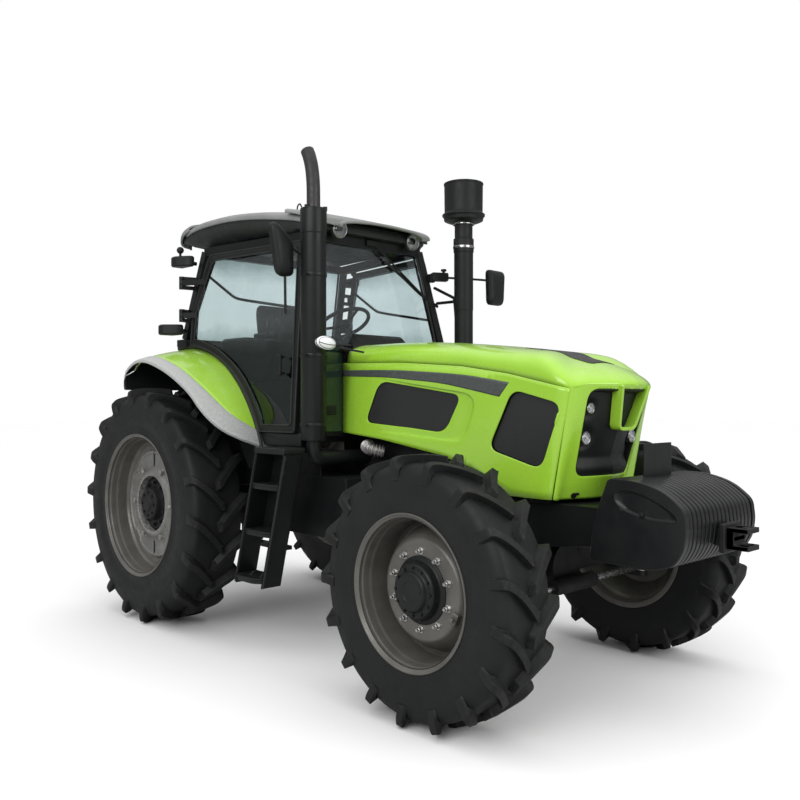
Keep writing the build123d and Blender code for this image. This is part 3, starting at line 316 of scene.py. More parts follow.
# a value spread from one range to another
def spread(tree, source, low, high, toLow, toHigh):
    node = addNode(tree, "MapRange")
    for key, value in zip(("From Min", "From Max", "To Min", "To Max"), (low, high, toLow, toHigh)):
        node.inputs[key].default_value = value
    tree.links.new(source, node.inputs["Value"])
    return node.outputs["Result"]


# two colours, or sockets, mixed by a share
def mixColour(tree, share, first, second):
    node = addNode(tree, "Mix", data_type="RGBA")
    for socket, value in ((node.inputs[0], share), (node.inputs[6], first), (node.inputs[7], second)):
        if hasattr(value, "is_output"):
            tree.links.new(value, socket)
        else:
            socket.default_value = value if isinstance(value, float) else (*value, 1.0)
    return node.outputs[2]


# how far faces look upwards, for dust that settles on them
def facingUp(tree):
    geometry, split = addNode(tree, "NewGeometry"), addNode(tree, "SeparateXYZ")
    tree.links.new(geometry.outputs["Normal"], split.inputs["Vector"])
    return spread(tree, split.outputs["Z"], 0.35, 1.0, 0.0, 1.0)


# worn edges: faces whose pointiness is high
def edgeWear(tree):
    geometry = addNode(tree, "NewGeometry")
    return spread(tree, geometry.outputs["Pointiness"], 0.52, 0.60, 0.0, 1.0)


# finish from a table: base and second colour mixed by noise, roughness range, fine bump, dust and wear
def makeFinish(name, base, second=None, patch=6.0, rough=(0.35, 0.5), metal=0.0, coat=0.0, bump=0.0,
               grain=300.0, dust=None, dustShare=0.0, wear=None, stretch=(1, 1, 1), specular=0.5):
    finish = bpy.data.materials.new(name)
    finish.use_nodes = True
    finish.diffuse_color = (*base, 1.0)
    tree = finish.node_tree
    shader = tree.nodes["Principled BSDF"]
    shader.inputs["Metallic"].default_value = metal
    shader.inputs["Coat Weight"].default_value = coat
    shader.inputs["Coat Roughness"].default_value = 0.08
    shader.inputs["Specular IOR Level"].default_value = specular
    cloud = noiseOf(tree, patch, 5.0, stretch)
    share = spread(tree, cloud, 0.38, 0.66, 0.0, 1.0)
    colour = mixColour(tree, share, base, second or base)
    if wear:
        worn = addNode(tree, "Math", operation="MULTIPLY")
        tree.links.new(edgeWear(tree), worn.inputs[0])
        tree.links.new(spread(tree, noiseOf(tree, 40.0), 0.45, 0.6, 0.0, 0.7), worn.inputs[1])
        colour = mixColour(tree, worn.outputs[0], colour, wear)
    if dust:
        settled = addNode(tree, "Math", operation="MULTIPLY")
        tree.links.new(facingUp(tree), settled.inputs[0])
        tree.links.new(spread(tree, noiseOf(tree, 14.0), 0.4, 0.7, 0.2 * dustShare, dustShare),
                       settled.inputs[1])
        colour = mixColour(tree, settled.outputs[0], colour, dust)
    tree.links.new(colour, shader.inputs["Base Color"])
    tree.links.new(spread(tree, noiseOf(tree, patch * 3), 0.35, 0.65, *rough), shader.inputs["Roughness"])
    if bump:
        raised = addNode(tree, "Bump", Strength=1.0, Distance=bump)
        tree.links.new(noiseOf(tree, grain, 3.0, stretch), raised.inputs["Height"])
        tree.links.new(raised.outputs["Normal"], shader.inputs["Normal"])
    return finish


finishes = {
    "limePaint": dict(base=(0.34, 0.64, 0.040), second=(0.37, 0.67, 0.050), patch=2.5, rough=(0.22, 0.30),
                      coat=0.6, bump=0.00006, grain=900.0, dust=(0.62, 0.68, 0.42), dustShare=0.18),
    "blackPaint": dict(base=(0.0075, 0.0085, 0.0088), second=(0.0095, 0.0105, 0.0108), patch=5.0,
                       rough=(0.34, 0.42), bump=0.00008, grain=260.0, dust=(0.05, 0.05, 0.048),
                       dustShare=0.25, specular=0.32),
    "darkCasting": dict(base=(0.0085, 0.009, 0.0095), second=(0.013, 0.013, 0.013), patch=6.0,
                        rough=(0.50, 0.62), bump=0.0004, grain=150.0, dust=(0.05, 0.048, 0.045),
                        dustShare=0.3, specular=0.3),
    "weightCasting": dict(base=(0.0085, 0.009, 0.0098), second=(0.012, 0.0125, 0.013), patch=6.0,
                          rough=(0.30, 0.38), bump=0.0003, grain=170.0, specular=0.45),
    "blackPlastic": dict(base=(0.0085, 0.0095, 0.0098), second=(0.011, 0.012, 0.0125), patch=5.0,
                         rough=(0.44, 0.52), bump=0.00012, grain=700.0, dust=(0.05, 0.05, 0.048),
                         dustShare=0.2, specular=0.32),
    "roofPlastic": dict(base=(0.215, 0.22, 0.217), second=(0.265, 0.27, 0.267), patch=5.0,
                        rough=(0.38, 0.52), bump=0.0002, grain=500.0, dust=(0.42, 0.42, 0.41),
                        dustShare=0.4),
    "fasciaPlastic": dict(base=(0.014, 0.016, 0.017), second=(0.019, 0.021, 0.022), patch=7.0,
                          rough=(0.45, 0.6), bump=0.0002, grain=600.0),
    "silverCasting": dict(base=(0.24, 0.238, 0.228), second=(0.18, 0.178, 0.168), patch=14.0,
                          rough=(0.38, 0.55), metal=0.35, bump=0.0005, grain=180.0,
                          wear=(0.55, 0.54, 0.50)),
    "rimSilver": dict(base=(0.17, 0.168, 0.158), second=(0.21, 0.207, 0.195), patch=7.0, rough=(0.30, 0.42),
                      metal=0.4, bump=0.0002, grain=300.0),
    "rimTaupe": dict(base=(0.125, 0.120, 0.108), second=(0.16, 0.154, 0.138), patch=7.0, rough=(0.30, 0.42),
                     metal=0.35, bump=0.0002, grain=300.0),
    "tyreRubber": dict(base=(0.0085, 0.0093, 0.0093), second=(0.0125, 0.013, 0.013), patch=6.0,
                       rough=(0.50, 0.60), bump=0.0003, grain=220.0, wear=(0.028, 0.028, 0.027),
                       specular=0.30),
    "sealRubber": dict(base=(0.012, 0.013, 0.013), second=(0.02, 0.02, 0.02), patch=20.0, rough=(0.45, 0.6),
                       bump=0.0002, grain=400.0),
    "brightSteel": dict(base=(0.58, 0.58, 0.57), second=(0.45, 0.45, 0.44), patch=30.0, rough=(0.18, 0.34),
                        metal=1.0, bump=0.0001, grain=500.0),
    "pipeSteel": dict(base=(0.035, 0.036, 0.036), second=(0.052, 0.052, 0.050), patch=9.0,
                      rough=(0.35, 0.55), metal=0.3, bump=0.0003, grain=200.0),
    "seatCloth": dict(base=(0.022, 0.023, 0.026), second=(0.032, 0.033, 0.036), patch=60.0,
                      rough=(0.7, 0.85), bump=0.0006, grain=800.0),
    "stripeFilm": dict(base=(0.060, 0.070, 0.068), second=(0.085, 0.097, 0.093), patch=60.0,
                       rough=(0.28, 0.4), coat=0.3),
    "amberLens": dict(base=(0.75, 0.25, 0.02), second=(0.7, 0.2, 0.02), rough=(0.1, 0.16), coat=0.5),
    "redLens": dict(base=(0.45, 0.012, 0.01), second=(0.38, 0.01, 0.01), rough=(0.1, 0.16), coat=0.5),
    "mirrorGlass": dict(base=(0.82, 0.85, 0.86), second=(0.80, 0.83, 0.84), rough=(0.03, 0.05), metal=1.0),
    # reflector: near-white and matt, a painted reflection standing in for the bright glints of silvered lamp bowls
    "reflector": dict(base=(0.96, 0.97, 0.98), second=(0.92, 0.93, 0.94), rough=(0.34, 0.40), metal=0.1),
    "corrugatedPipe": dict(base=(0.55, 0.54, 0.52), second=(0.38, 0.37, 0.36), patch=40.0, rough=(0.3, 0.5),
                           metal=0.9, bump=0.0006, grain=120.0)}
finish = {name: makeFinish(name, **table) for name, table in finishes.items()}


# the fender's band carries fine dark speckles that grow denser between two places along the tractor
def makeSpeckled(name, pale, dark, rearX, frontX):
    made = makeFinish(name, pale, pale, rough=(0.4, 0.5))
    tree = made.node_tree
    shader = tree.nodes["Principled BSDF"]
    place, split = addNode(tree, "TexCoord"), addNode(tree, "SeparateXYZ")
    tree.links.new(place.outputs["Object"], split.inputs["Vector"])
    along = spread(tree, split.outputs["X"], rearX + axleX, frontX + axleX, 0.05, 0.75)
    fleck = spread(tree, noiseOf(tree, 230.0, 2.0), 0.42, 0.62, 0.0, 1.0)
    share = addNode(tree, "Math", operation="MULTIPLY")
    tree.links.new(along, share.inputs[0])
    tree.links.new(fleck, share.inputs[1])
    tree.links.new(mixColour(tree, share.outputs[0], pale, dark), shader.inputs["Base Color"])
    return made


finish["fenderBand"] = makeSpeckled("fenderBand", (0.50, 0.51, 0.50), (0.12, 0.13, 0.13), -0.1, 1.15)


# black sheet with small round holes in a staggered pattern
def makePerforated(name, pitch=0.008):
    made = makeFinish(name, (0.020, 0.021, 0.022), (0.028, 0.029, 0.030), rough=(0.4, 0.5))
    tree = made.node_tree
    shader = tree.nodes["Principled BSDF"]
    place, mapping = addNode(tree, "TexCoord"), addNode(tree, "Mapping")
    mapping.inputs["Scale"].default_value = (1 / pitch, 0.0, 1 / pitch)
    mapping.inputs["Rotation"].default_value = (0, math.radians(45), 0)
    cells = addNode(tree, "TexVoronoi", Scale=1.0, Randomness=0.0)
    tree.links.new(place.outputs["Object"], mapping.inputs["Vector"])
    tree.links.new(mapping.outputs["Vector"], cells.inputs["Vector"])
    hole = spread(tree, cells.outputs["Distance"], 0.30, 0.36, 0.0, 1.0)
    tree.links.new(mixColour(tree, hole, (0.004, 0.004, 0.004), (0.026, 0.027, 0.028)),
                   shader.inputs["Base Color"])
    raised = addNode(tree, "Bump", Strength=0.6, Distance=0.001)
    tree.links.new(hole, raised.inputs["Height"])
    tree.links.new(raised.outputs["Normal"], shader.inputs["Normal"])
    return made


finish["screenSheet"] = makePerforated("screenSheet")


# tinted pane: clear with a green-blue body colour, and painted shade that darkens its foot and top between given
# heights
def makeGlass(name, tint, low=None, high=None, foot=(0, 0), top=(0, 0)):
    made = bpy.data.materials.new(name)
    made.use_nodes = True
    made.diffuse_color = (*tint, 0.4)
    tree = made.node_tree
    shader = tree.nodes["Principled BSDF"]
    shader.inputs["Transmission Weight"].default_value = 1.0
    shader.inputs["Roughness"].default_value = 0.0
    shader.inputs["IOR"].default_value = 1.45
    smear = spread(tree, noiseOf(tree, 3.0), 0.3, 0.7, 0.0, 1.0)
    colour = mixColour(tree, smear, tint, tuple(0.94 * c for c in tint))
    if low:
        place, split = addNode(tree, "TexCoord"), addNode(tree, "SeparateXYZ")
        tree.links.new(place.outputs["Object"], split.inputs["Vector"])
        ripple = addNode(tree, "Math", operation="MULTIPLY_ADD")
        tree.links.new(noiseOf(tree, 2.6), ripple.inputs[0])
        ripple.inputs[1].default_value = 0.22
        tree.links.new(split.outputs["Z"], ripple.inputs[2])
        height = ripple.outputs[0]
        # painted shade: darker colours mixed in towards the pane's foot and top
        colour = mixColour(tree, spread(tree, height, *foot, 1.0, 0.0), colour, low)
        colour = mixColour(tree, spread(tree, height, *top, 0.0, 1.0), colour, high)
    tree.links.new(colour, shader.inputs["Base Color"])
    return made


# windscreen: paler painted shade at its foot, darker painted shade at its top
finish["cabGlass"] = makeGlass("cabGlass", (0.76, 0.835, 0.85), (0.60, 0.70, 0.70), (0.42, 0.50, 0.51),
                               (2.0, 2.2), (2.62, 2.76))
# door glass: painted shade and reflection in dark green at its foot, painted shade at its top
finish["doorGlass"] = makeGlass("doorGlass", (0.74, 0.83, 0.83), (0.15, 0.25, 0.215), (0.36, 0.43, 0.43),
                                (2.02, 2.24), (2.56, 2.72))
finish["lampGlass"] = makeGlass("lampGlass", (0.96, 0.97, 0.98))
finish["cowlGlass"] = makeFinish("cowlGlass", (0.012, 0.026, 0.020), (0.016, 0.034, 0.026), patch=3.0,
                                 rough=(0.06, 0.12), coat=0.5)
print("finishes made,", len(finish))


# tyres
rearWheel = dict(side=0.914, x=0.0, radius=0.842, half=0.215, lug=0.044, seat=0.484, flange=0.508,
                 rimHalf=0.203, lugs=18, lugWidth=0.052)
frontWheel = dict(side=0.957, x=2.810, radius=0.664, half=0.183, lug=0.038, seat=0.357, flange=0.381,
                  rimHalf=0.165, lugs=17, lugWidth=0.046)


# carcass: bead, bulging sidewall with two fine ribs, rounded shoulder and crown, closed through the inside
def tyreCarcass(w):
    half, crown = w["half"] - 0.008, w["radius"] - w["lug"]
    tall = crown - w["flange"]
    side = [(w["rimHalf"] - 0.012, w["seat"]), (w["rimHalf"] - 0.011, w["flange"] - 0.004),
            (w["rimHalf"] - 0.002, w["flange"] + 0.006), (half - 0.009, w["flange"] + 0.16 * tall),
            (half - 0.001, w["flange"] + 0.38 * tall), (half, w["flange"] + 0.52 * tall),
            (half - 0.004, w["flange"] + 0.68 * tall), (half - 0.014, w["flange"] + 0.84 * tall),
            (half - 0.036, crown - 0.012), (half * 0.62, crown - 0.003), (half * 0.3, crown),
            (0, crown + 0.001)]
    outer = smoothLine(side, 60)
    rib = sum(np.exp(-((outer[:, 1] - w["flange"] - f * tall) / 0.0035) ** 2) for f in (0.12, 0.17, 0.60))
    outer[:, 0] += 0.0022 * rib * (outer[:, 1] < crown - 0.05)
    outer = np.concatenate([outer, (outer * (-1, 1))[-2::-1]])
    inner = smoothLine([(-half + 0.03, w["seat"] + 0.012), (-half + 0.02, w["seat"] + 0.5 * tall),
                        (-half * 0.7, crown - 0.03), (0, crown - 0.022), (half * 0.7, crown - 0.03),
                        (half - 0.02, w["seat"] + 0.5 * tall), (half - 0.03, w["seat"] + 0.012)], 30)
    return lathe(np.concatenate([outer, inner]), (0, 0, 0), 1, 120, True)


# lugs of the +Y half: a trapezoid section carried from the tread's middle over the shoulder and down the
# sidewall, leaning back as it goes out, copied round the wheel by turning its circumferential offset
def tyreLugs(w, phase=0.0, rows=26):
    half, radius, deep = w["half"], w["radius"], w["lug"]
    share = np.linspace(0, 1, rows)
    top = np.array([(-0.05, 0), (0.2, 0), (0.5, 0.001), (0.76, 0.003), (0.90, 0.008), (0.975, 0.020),
                    (1.0, 0.042), (0.999, 0.072), (0.985, 0.102), (0.962, 0.122)])
    foot = np.array([(-0.10, 1.15), (0.2, 1.15), (0.5, 1.2), (0.76, 1.4), (0.86, 1.6), (0.90, 1.8),
                     (0.92, 2.2), (0.93, 2.6), (0.93, 3.0), (0.93, 3.2)])
    top, foot = evenly(top * (half, 1), rows), evenly(foot * (half, deep), rows)
    across = np.clip(top[:, 0] / half, 0, 1)
    sway = -(1.22 * across - 0.30 * across ** 2.2 - 0.46) * half
    sway = sway - np.where(share > 0.78, (share - 0.78) * 0.05, 0)
    wide = w["lugWidth"] * (1.12 - 0.20 * across + 0.22 * np.clip(share - 0.6, 0, 1))
    # offset as a share of the lug's half width, then how far up from foot to top
    section = np.array([(-1.45, 0.0), (-1.10, 0.80), (-1.04, 0.96), (-0.93, 1.0), (0.93, 1.0), (1.04, 0.96),
                        (1.10, 0.80), (1.45, 0.0)])
    up = section[:, 1]
    y = foot[:, :1] + (top[:, :1] - foot[:, :1]) * up
    r = radius - (foot[:, 1:] + (top[:, 1:] - foot[:, 1:]) * up)
    around = (sway[:, None] + section[:, 0] * wide[:, None] / 2) / radius
    angle = around[None] + np.radians(phase + 360 / w["lugs"] * np.arange(w["lugs"]))[:, None, None]
    points = np.stack([r * np.sin(angle), np.broadcast_to(y, angle.shape), r * np.cos(angle)], 3)
    cols = len(section)
    one = [gridFaces(rows, cols, False, True), np.arange(cols)[None, ::-1],
           np.arange((rows - 1) * cols, rows * cols)[None]]
    start = (np.arange(w["lugs"]) * rows * cols)[:, None, None]
    return points.reshape(-1, 3), [(block[None] + start).reshape(-1, block.shape[1]) for block in one]


# drawn about its own centre for the left side; a right wheel is turned over in Y
def placeWheel(shape, w, side):
    points, faces = shape if side > 0 else mirrored(shape)
    return points + (w["x"], side * w["side"], w["radius"]), faces


# both halves of the tread, the second half a pitch further round, on one carcass
def wheelTyre(w, side, name, body):
    lugs = joined(tyreLugs(w), mirrored(tyreLugs(w, 180 / w["lugs"])))
    tyre = placeWheel(joined(tyreCarcass(w), lugs), w, side)
    makePiece(name + "Tyre", tyre, "tyreRubber", body, crease=28, hides=[body.replace("wheel", "tyre")])


# rim: rolled flange with stepped rings, then the barrel down to the well
def rimBarrel(w, wellSide, wellRadius):
    edge, flange, seat = w["rimHalf"], w["flange"], w["seat"] - 0.001
    outer = [(wellSide, wellRadius), (wellSide + 0.004, seat - 0.026), (wellSide + 0.020, seat - 0.012),
             (edge - 0.085, seat - 0.010), (edge - 0.070, seat - 0.004), (edge - 0.034, seat - 0.002),
             (edge - 0.028, seat + 0.003), (edge - 0.012, seat + 0.005), (edge - 0.006, seat + 0.010),
             (edge - 0.003, flange - 0.008), (edge + 0.003, flange - 0.004), (edge + 0.004, flange + 0.002),
             (edge - 0.002, flange + 0.005), (edge - 0.008, flange + 0.002), (edge - 0.010, flange - 0.004),
             (edge - 0.011, seat + 0.004)]
    back = [(-edge + 0.011, seat + 0.004), (-edge + 0.009, flange - 0.002), (-edge, flange + 0.003),
            (-edge - 0.002, flange), (-edge + 0.004, seat - 0.006), (-edge + 0.05, seat - 0.014),
            (wellSide - 0.03, seat - 0.014), (wellSide - 0.012, wellRadius)]
    return lathe(filleted(np.array(outer + back), 0.004, 3), (0, 0, 0), 1, 112, True)


# cast plate of the rear wheel: a ring whose edge is notched at the top and bottom, stepped towards its hole
def castDisc():
    turn = np.linspace(0, 2 * np.pi, 240, endpoint=False)
    # height and depth of the scallops round the plate's edge
    notch = sum(np.exp(-((np.degrees(turn) - a + 180) % 360 - 180) ** 2 / 7.0 ** 2)
                for a in (45, 135, 225, 315))
    edge = 0.388 - 0.030 * np.clip(notch * 1.6, 0, 1)
    # across, then share of the way from the hole to the edge
    rows = [(0.020, 1.0), (0.052, 1.0), (0.062, 0.985), (0.066, 0.95), (0.066, 0.88), (0.060, 0.85),
            (0.058, 0.62), (0.061, 0.40), (0.067, 0.33), (0.074, 0.24), (0.082, 0.20), (0.088, 0.12),
            (0.090, 0.05), (0.086, 0.0), (0.030, 0.0)]
    hole = 0.203
    r = hole + (edge[:, None] - hole) * np.array(rows)[:, 1]
    points = np.stack([r * np.sin(turn)[:, None], np.broadcast_to(np.array(rows)[:, 0], r.shape),
                       r * np.cos(turn)[:, None]], 2)
    return gridShape(points, True, True)


# rear rim: barrel, dished ring, cast plate with its bolts and short ribs, and a hub of stepped turned forms
def rearRim(side, name, body):
    w = rearWheel
    barrel = rimBarrel(w, 0.030, 0.441)
    makePiece(name + "Barrel", placeWheel(barrel, w, side), "rimTaupe", body, crease=32,
              hides=[body.replace("wheel", "rim")])
    dish = lathe(filleted([(0.020, 0.442), (0.030, 0.441), (0.030, 0.402), (0.046, 0.388), (0.046, 0.30),
                           (0.020, 0.30)], 0.004, 3), (0, 0, 0), 1, 96, True)
    bolts = boltCircle(0.267, 0.060, 0.019, 0.030, 6, 30)
    ribs = [roundAbout(brick(-0.006, 0.006, 0.055, 0.070, 0.226 + k * 0.022, 0.238 + k * 0.022, 0.002, 0.002),
                       (0, 0, 0), np.concatenate([a + np.arange(-12, 13, 8) for a in np.arange(0, 360, 60)]))
            for k in range(2)]
    plate = joined(castDisc(), *ribs, *bolts)
    makePiece(name + "Disc", placeWheel(joined(dish, plate), w, side), "silverCasting", body, crease=30)
    split = [brick(-0.003, 0.003, 0.060, 0.0672, s * 0.295 - 0.085, s * 0.295 + 0.085, 0.001, 0.001)
             for s in (1, -1)]
    hub = lathe(filleted([(0.0, 0.0), (0.0, 0.206), (0.040, 0.204), (0.040, 0.186), (0.052, 0.180),
                          (0.052, 0.125), (0.070, 0.118), (0.102, 0.114), (0.112, 0.104), (0.112, 0.060),
                          (0.120, 0.052), (0.126, 0.044), (0.126, 0.0)], 0.004, 3, False), (0, 0, 0), 1, 72)
    nuts = boltCircle(0.153, 0.050, 0.013, 0.026, 10) + boltCircle(0.084, 0.110, 0.008, 0.010, 8)
    spindle = lathe([(-0.303, 0.0), (-0.303, 0.165), (-0.273, 0.165), (-0.268, 0.118), (0.01, 0.118),
                     (0.01, 0.0)], (0, 0, 0), 1, 48)
    makePiece(name + "Hub", placeWheel(joined(hub, spindle, *nuts, *split), w, side), "darkCasting", body,
              crease=30)


# front rim: barrel, conical disc with a valve clamp, nuts on a circle, and a hub of stepped turned forms
def frontRim(side, name, body):
    w = frontWheel
    barrel = rimBarrel(w, -0.070, 0.319)
    makePiece(name + "Barrel", placeWheel(barrel, w, side), "rimTaupe", body, crease=32,
              hides=[body.replace("wheel", "rim")])
    disc = lathe(filleted([(-0.080, 0.320), (-0.066, 0.319), (-0.010, 0.300), (0.036, 0.272),
                           (0.058, 0.254), (0.064, 0.244), (0.064, 0.150), (0.042, 0.150), (0.030, 0.25),
                           (-0.030, 0.288)], 0.006, 4), (0, 0, 0), 1, 96, True)
    nuts = boltCircle(0.192, 0.062, 0.0135, 0.026, 10)
    nuts += [lathe([(0.084, 0.0), (0.084, 0.0085), (0.098, 0.008), (0.100, 0.0)],
                   (0.192 * math.sin(a), 0, 0.192 * math.cos(a)), 1, 12)
             for a in np.radians(np.arange(0, 360, 36))]
    lug = brick(0.226, 0.266, 0.030, 0.078, -0.030, 0.030, 0.010, 0.004)
    clamp = joined(moved(lug, turn=(0, 24, 0)),
                   hexBolt(0.247 * math.cos(0.42), 0.076, -0.247 * math.sin(0.42), 0.013, 0.020))
    makePiece(name + "Disc", placeWheel(joined(disc, clamp), w, side), "rimTaupe", body, crease=30)
    makePiece(name + "Nuts", placeWheel(joined(*nuts), w, side), "brightSteel", body, crease=30)
    hub = lathe(filleted([(-0.118, 0.0), (-0.118, 0.158), (0.038, 0.158), (0.054, 0.168), (0.070, 0.168),
                          (0.076, 0.146), (0.086, 0.141), (0.112, 0.137), (0.122, 0.128), (0.122, 0.104),
                          (0.130, 0.098), (0.142, 0.092), (0.145, 0.082), (0.145, 0.052), (0.141, 0.048),
                          (0.141, 0.0)], 0.004, 3, False), (0, 0, 0), 1, 84)
    caps = boltCircle(0.117, 0.120, 0.008, 0.011, 12)
    plug = hexBolt(0.066, 0.140, 0.012, 0.010, 0.008)
    makePiece(name + "Hub", placeWheel(joined(hub, plug, *caps), w, side), "blackPaint", body, crease=30)


for hand, side in (("Left", 1), ("Right", -1)):
    wheelTyre(rearWheel, side, "rear" + hand, "rear_wheel_" + hand.lower())
    wheelTyre(frontWheel, side, "front" + hand, "front_wheel_" + hand.lower())
    rearRim(side, "rear" + hand, "rear_wheel_" + hand.lower())
    frontRim(side, "front" + hand, "front_wheel_" + hand.lower())
print("wheels made")


# hood: dome and nose in one skin
hood = dict(rear=1.557, rearHalf=0.439, seamX=3.2315, browHeight=1.676, sideRake=0.19, noseRake=0.32,
            skin=0.007, mouthHalf=0.312, mouthLow=1.190, mouthTop=1.652)
seamTable = np.array([(1.555, 1.835), (2.038, 1.823), (2.522, 1.787), (2.851, 1.738), (3.202, 1.661),
                      (3.232, 1.6535), (3.345, 1.629)])
crownTable = np.array([(1.555, 1.963), (2.038, 1.956), (2.522, 1.916), (2.851, 1.868), (3.05, 1.830)])
halfOutline = smoothLine([(3.120, 0.405), (3.180, 0.402), (3.216, 0.388), (3.250, 0.355), (3.284, 0.308),
                          (3.334, 0.220), (3.376, 0.110), (3.392, 0.0)], 40)
halfOutline = np.concatenate([[(hood["rear"], hood["rearHalf"])], halfOutline])
wholeOutline = np.concatenate([halfOutline, (halfOutline * (1, -1))[-2::-1]])
outlineRun = np.concatenate([[0], np.cumsum(np.linalg.norm(np.diff(wholeOutline, axis=0), axis=1))])
outlineRun -= outlineRun[-1] / 2
seamRun = float(np.interp(hood["seamX"], halfOutline[:, 0], -outlineRun[:len(halfOutline)]))


# smooth rise from 0 to 1 between two values: 3 t squared less 2 t cubed
def smoothStep(value, low, high):
    t = np.clip((value - low) / (high - low), 0, 1)
    return t * t * (3 - 2 * t)


# point on the hood's skirt: run along its outline from the middle of the nose, height, and depth behind
# the skin
def skirtPoint(run, z, depth=0.0):
    x = np.interp(run, outlineRun, wholeOutline[:, 0])
    y = np.interp(run, outlineRun, wholeOutline[:, 1])
    rake = hood["noseRake"] + (hood["sideRake"] - hood["noseRake"]) * smoothStep(np.abs(run), 0.28, seamRun)
    return np.stack(np.broadcast_arrays(x + rake * np.minimum(z - hood["browHeight"], 0) - depth, y, z), -1)


# foot of the dome: the seam along the sides, just above the grille opening across the nose
def domeFoot(run):
    x = np.interp(run, outlineRun, wholeOutline[:, 0])
    along = np.interp(x, seamTable[:, 0], seamTable[:, 1])
    return along + (1.668 - along) * smoothStep(-np.abs(run), -seamRun, -seamRun + 0.10)


# ribs run from the foot up and over to the centre line; their profile is a superellipse along the sides and
# an ellipse mixed with a straight slope at the nose
def hoodDome():
    runs = np.concatenate([np.linspace(outlineRun[0], -seamRun, 46),
                           np.linspace(-seamRun, seamRun, 57)[1:-1],
                           np.linspace(seamRun, outlineRun[-1], 46)])
    foot = skirtPoint(runs, domeFoot(runs))
    x = foot[:, 0]
    spineX = np.where(x < 2.70, x, 2.70 + (x - 2.70) * 0.46)
    crown = np.interp(spineX, *smoothLine(crownTable, 60).T)
    nose = smoothStep(x, 3.05, 3.30)
    phi = np.linspace(0, np.pi / 2, 30)[:, None]
    power = 2 / 3.4
    sideAway, sideUp = 1 - np.cos(phi) ** power, np.sin(phi) ** power
    noseAway = 1 - np.cos(phi) ** 1.25
    noseUp = 0.56 * np.sqrt(1 - (1 - noseAway) ** 2) + 0.44 * noseAway
    away = sideAway + (noseAway - sideAway) * nose
    up = sideUp + (noseUp - sideUp) * nose
    px = x + (spineX - x) * away
    py = foot[:, 1] * (1 - away)
    pz = foot[:, 2] + (crown - foot[:, 2]) * up
    return gridShape(np.stack([px, py, pz], 2))


# run along a rounded polygon between the middles of its corners, one evenly spaced piece for each side
def roundedSides(corners, reach, counts):
    steps = 9
    curve = filleted(corners, reach, steps)
    n = len(curve)
    pieces = []
    for k, count in enumerate(counts):
        first = k * steps + steps // 2
        last = (k + 1) * steps + steps // 2
        pieces.append(evenly(curve[np.arange(first, last + 1) % n], count + 1)[:-1])
    return np.concatenate(pieces)


# polylines laid end to end as a closed outline, each resampled
def sidesOf(lines, counts):
    return np.concatenate([evenly(line, count + 1)[:-1] for line, count in zip(lines, counts)])


# outlines part of the way from one to another, in equal steps or at given shares
def ringsBetween(outer, inner, shares):
    return [outer + (inner - outer) * s for s in shares]


# nose: rings between the grille opening and the skirt's edge, then rolled in round the opening
def hoodNose():
    counts = (56, 30, 56, 30)
    low = 1.072
    top = np.linspace(seamRun, -seamRun, 57)
    sideRun = seamRun - 0.004
    outer = sidesOf([np.stack([top, domeFoot(top)], 1),
                     [(-seamRun, domeFoot(-seamRun)), (-sideRun, low + 0.006)],
                     [(-sideRun, low + 0.006), (-sideRun + 0.03, low), (sideRun - 0.03, low),
                      (sideRun, low + 0.006)],
                     [(sideRun, low + 0.006), (seamRun, domeFoot(seamRun))]], counts)
    high, foot = hood["mouthHalf"], hood["mouthHalf"] - 0.050
    mouth = roundedSides([(high, hood["mouthTop"]), (-high, hood["mouthTop"]), (-foot, hood["mouthLow"]),
                          (foot, hood["mouthLow"])], [0.070, 0.070, 0.062, 0.062], counts)
    middle = np.array([0.0, 1.42])
    rings = ringsBetween(outer, mouth, np.linspace(0, 1, 12)[:-1])
    points = [skirtPoint(r[:, 0], r[:, 1]) for r in rings]
    for inset, depth in ((-0.004, 0.0), (0.000, 0.0012), (0.003, 0.005), (0.004, 0.009), (0.0045, 0.013)):
        r = mouth + (middle - mouth) / np.linalg.norm(middle - mouth, axis=1)[:, None] * inset
        points.append(skirtPoint(r[:, 0], r[:, 1], depth))
    return gridShape(np.stack(points), False, True), mouth


nose, mouthOutline = hoodNose()
skin = makePiece("hoodSkin", joined(hoodDome(), nose), "limePaint", "hood", crease=40, wall=hood["skin"],
                 hides=["hood_lid"])

loop = dict(top=0.132, foot=0.072, low=1.440, bend=0.034, thick=0.014, deep=0.062)


# hanging loop: a flat band with rounded edges carried down, across and up again in front of the grille
def hangingLoop():
    line = filleted([(loop["top"], 1.672), (loop["foot"], loop["low"]), (-loop["foot"], loop["low"]),
                     (-loop["top"], 1.672)], loop["bend"], 13, False)
    path = skirtPoint(line[:, 0], line[:, 1], loop["deep"] / 2 - 0.018)
    t, d = loop["thick"] / 2, loop["deep"] / 2
    outline = filleted([(-t, -d), (t, -d), (t + 0.003, d), (-t - 0.003, d)], 0.005, 4)
    return carried(path, outline, (1, 0, 0))


makePiece("hoodLoop", hangingLoop(), "limePaint", "hood", crease=40)

# hood hinge arms under the rear edge
arms = joined(*[prism([(1.556, 1.880), (1.584, 1.880), (1.592, 1.905), (1.590, 1.948), (1.557, 1.948)],
                      s * 0.190 - 0.01, s * 0.190 + 0.01, 1, 0.002, 0.006) for s in (1, -1)])
makePiece("hoodHinges", arms, "blackPaint", "hood")


# front lamps: distance from the middle, height, radius
lampPlaces = [(0.218, 1.394, 0.035), (0.237, 1.549, 0.029)]


# depth of the tray's floor: shallower on a ledge at its foot, deeper in a dish round each lamp
def trayDepth(y, z):
    depth = 0.056 - 0.040 * smoothStep(-z, -1.300, -1.222)
    for side, height, radius in lampPlaces:
        away = np.hypot(np.abs(y) - side, z - height)
        depth = depth + 0.016 * (1 - smoothStep(away, radius + 0.004, radius + 0.036))
    return depth


